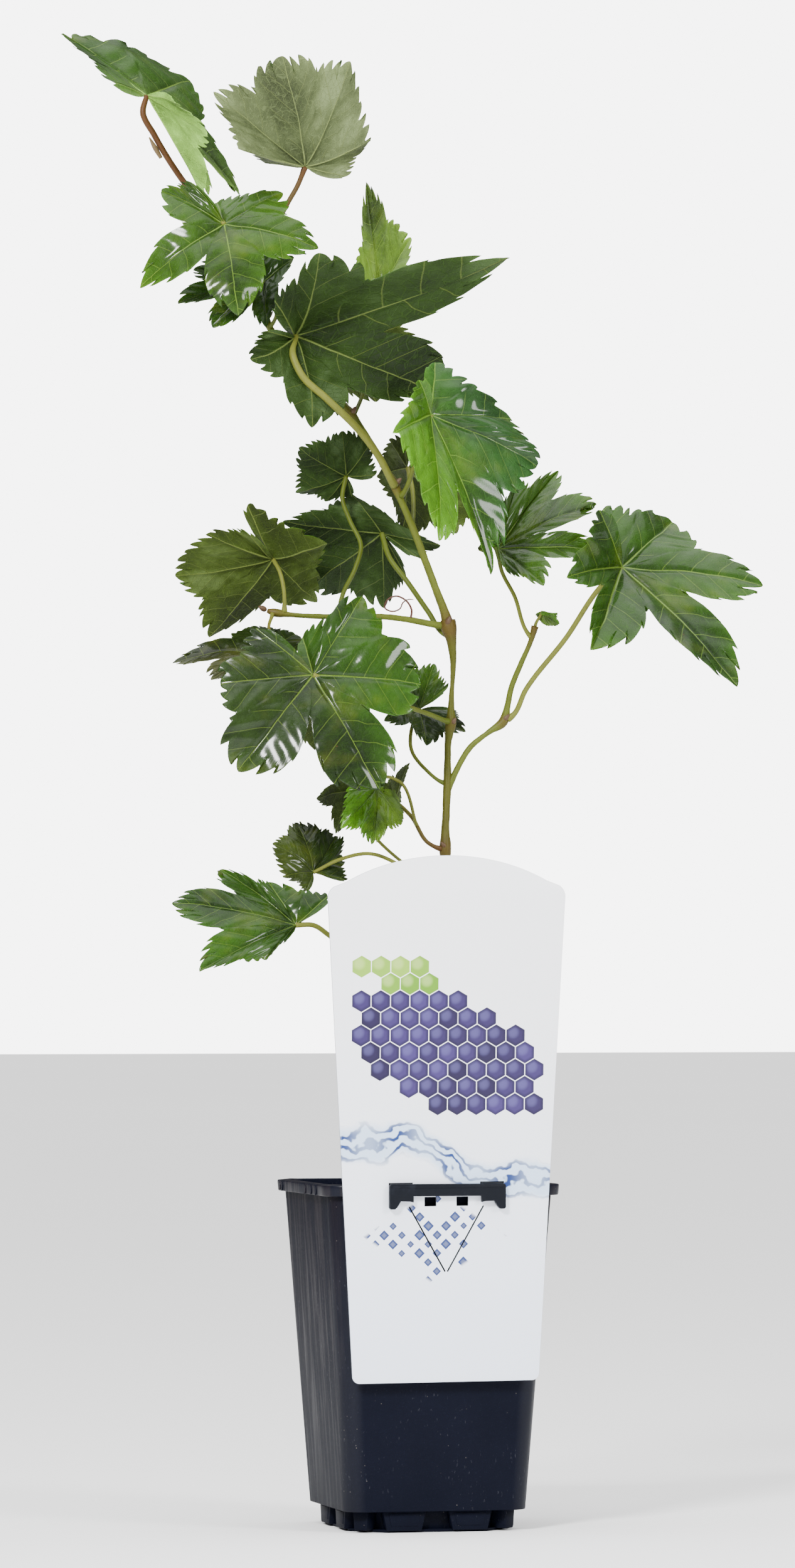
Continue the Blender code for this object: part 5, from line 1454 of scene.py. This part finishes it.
def label():
    """A thin plate with slots for the clip's arms, two holes and a slit tongue."""
    plate = slab("label_sheet", label_outline(), LABEL_THICK, LABEL_EDGE)
    across = (-CUT_DEPTH, CUT_DEPTH)
    tools = [block("slot", x, ARM_HALF + 0.7, *across, POT_HEIGHT - 0.1, POT_HEIGHT + 1.7) for x in ARM_AT]
    tools += [block("hole", x, HOLE[0], *across, *HOLE[1:]) for x in HOLES_AT]
    for side in (-1, 1):
        stroke = block("stroke", 0, SLIT / 2, *across, 0, TONGUE_LONG)
        stroke.data.transform(Matrix.Rotation(side * TONGUE_SLANT, 4, "Y"))
        stroke.data.transform(Matrix.Translation((side * 0.6 * MM, 0, TONGUE_TIP * MM)))
        tools.append(stroke)
    cut_out(plate, tools)
    pivot = Matrix.Translation((0, -LABEL_FRONT * MM, POT_HEIGHT * MM))
    lean = Matrix.Rotation(LABEL_LEAN, 4, "X") @ Matrix.Rotation(LABEL_SKEW, 4, "Y")
    plate.data.transform(pivot @ lean @ Matrix.Translation((0, 0, -POT_HEIGHT * MM)))
    settle(painted(plate, label_print(), 30), "label_plastic", "label")


def label_holder():
    """A moulded clip: a bar with two legs before the label, and two arms over the rim."""
    top = POT_HEIGHT + 0.8
    half = [(x, top - down) for x, down in CLIP_EDGE]
    front = slab("holder", half + [(-x, z) for x, z in reversed(half[1:-1])], CLIP_THICK, 0.4)
    ahead = LABEL_FRONT + LABEL_THICK + 0.4
    front.data.transform(Matrix.Translation((0, -ahead * MM, 0)))
    pieces = [front, block("ridge", 0, 29.6, -ahead - 3.5, -ahead - 2.9, top - 1.9, top - 1.1, soft=0.15)]
    for x in ARM_AT:
        for name, start, low, high in (("arm", -ahead - 1.5, POT_HEIGHT + 0.3, POT_HEIGHT + 1.3),
                                       ("leg", ARM_BACK - 1.6, LEG_FOOT, POT_HEIGHT + 1.0)):
            pieces.append(block(name, x, ARM_HALF, start, ARM_BACK, low, high, soft=0.25))
    settle(painted(joined("holder_clip", pieces), holder_plastic(), 32), "holder_plastic", "label_holder")


# Floor, light and camera


def plain_floor():
    floor = added(bpy.ops.mesh.primitive_plane_add, "floor", size=40)
    paint = Finish("pale_floor", Roughness=0.9)
    shade = paint.noise(0.5, 2)
    floor.data.materials.append(paint.finish(paint.mix(shade, (0.86, 0.86, 0.86), (0.9, 0.9, 0.9))))


def studio():
    """A dim room, brighter overhead, before a backdrop that only the camera sees, and two soft lamps."""
    world = bpy.data.worlds.new("studio")
    bpy.context.scene.world = world
    world.use_nodes = True
    room = Tree(world.node_tree)
    height = room.split(room.node("ShaderNodeTexCoord").outputs["Generated"])[2]
    level = room.node("ShaderNodeMapRange", {}, {
        "Value": room.node("ShaderNodeLightPath").outputs["Is Camera Ray"],
        "To Min": height.fade(0.60, 0.95, ROOM_LIGHT, OVERHEAD_LIGHT), "To Max": BACKDROP_LIGHT})
    backdrop = world.node_tree.nodes["Background"]
    room.feed(backdrop.inputs["Color"], (1.0, 1.0, 1.0, 1.0))
    room.feed(backdrop.inputs["Strength"], level.outputs["Result"])
    for name, (place, aim, size, power) in LAMPS.items():
        light = bpy.data.lights.new(name, "AREA")
        light.shape = "DISK"
        light.size = size
        light.energy = power
        lamp = placed(name, light)
        lamp.location = place
        lamp.rotation_euler = (Vector(aim) - Vector(place)).to_track_quat("-Z", "Y").to_euler()


def camera():
    """Looks at the plant from the front, turned as the photograph shows it."""
    lens = bpy.data.cameras.new("camera")
    lens.sensor_fit = "VERTICAL"
    lens.sensor_height = 36
    lens.lens = CAMERA_LENS
    lens.clip_start = 0.1
    lens.clip_end = 60
    eye = placed("camera", lens)
    aside = Matrix.Translation(CAMERA_PLACE)
    eye.matrix_world = Matrix.Rotation(TURN, 4, "Z") @ aside @ Matrix.Rotation(CAMERA_TILT, 4, "X")
    bpy.context.scene.camera = eye


plain_floor()
studio()
camera()
leaves()
stems()
buds()
tendril()
pot()
soil()
label()
label_holder()
bpy.context.view_layer.update()
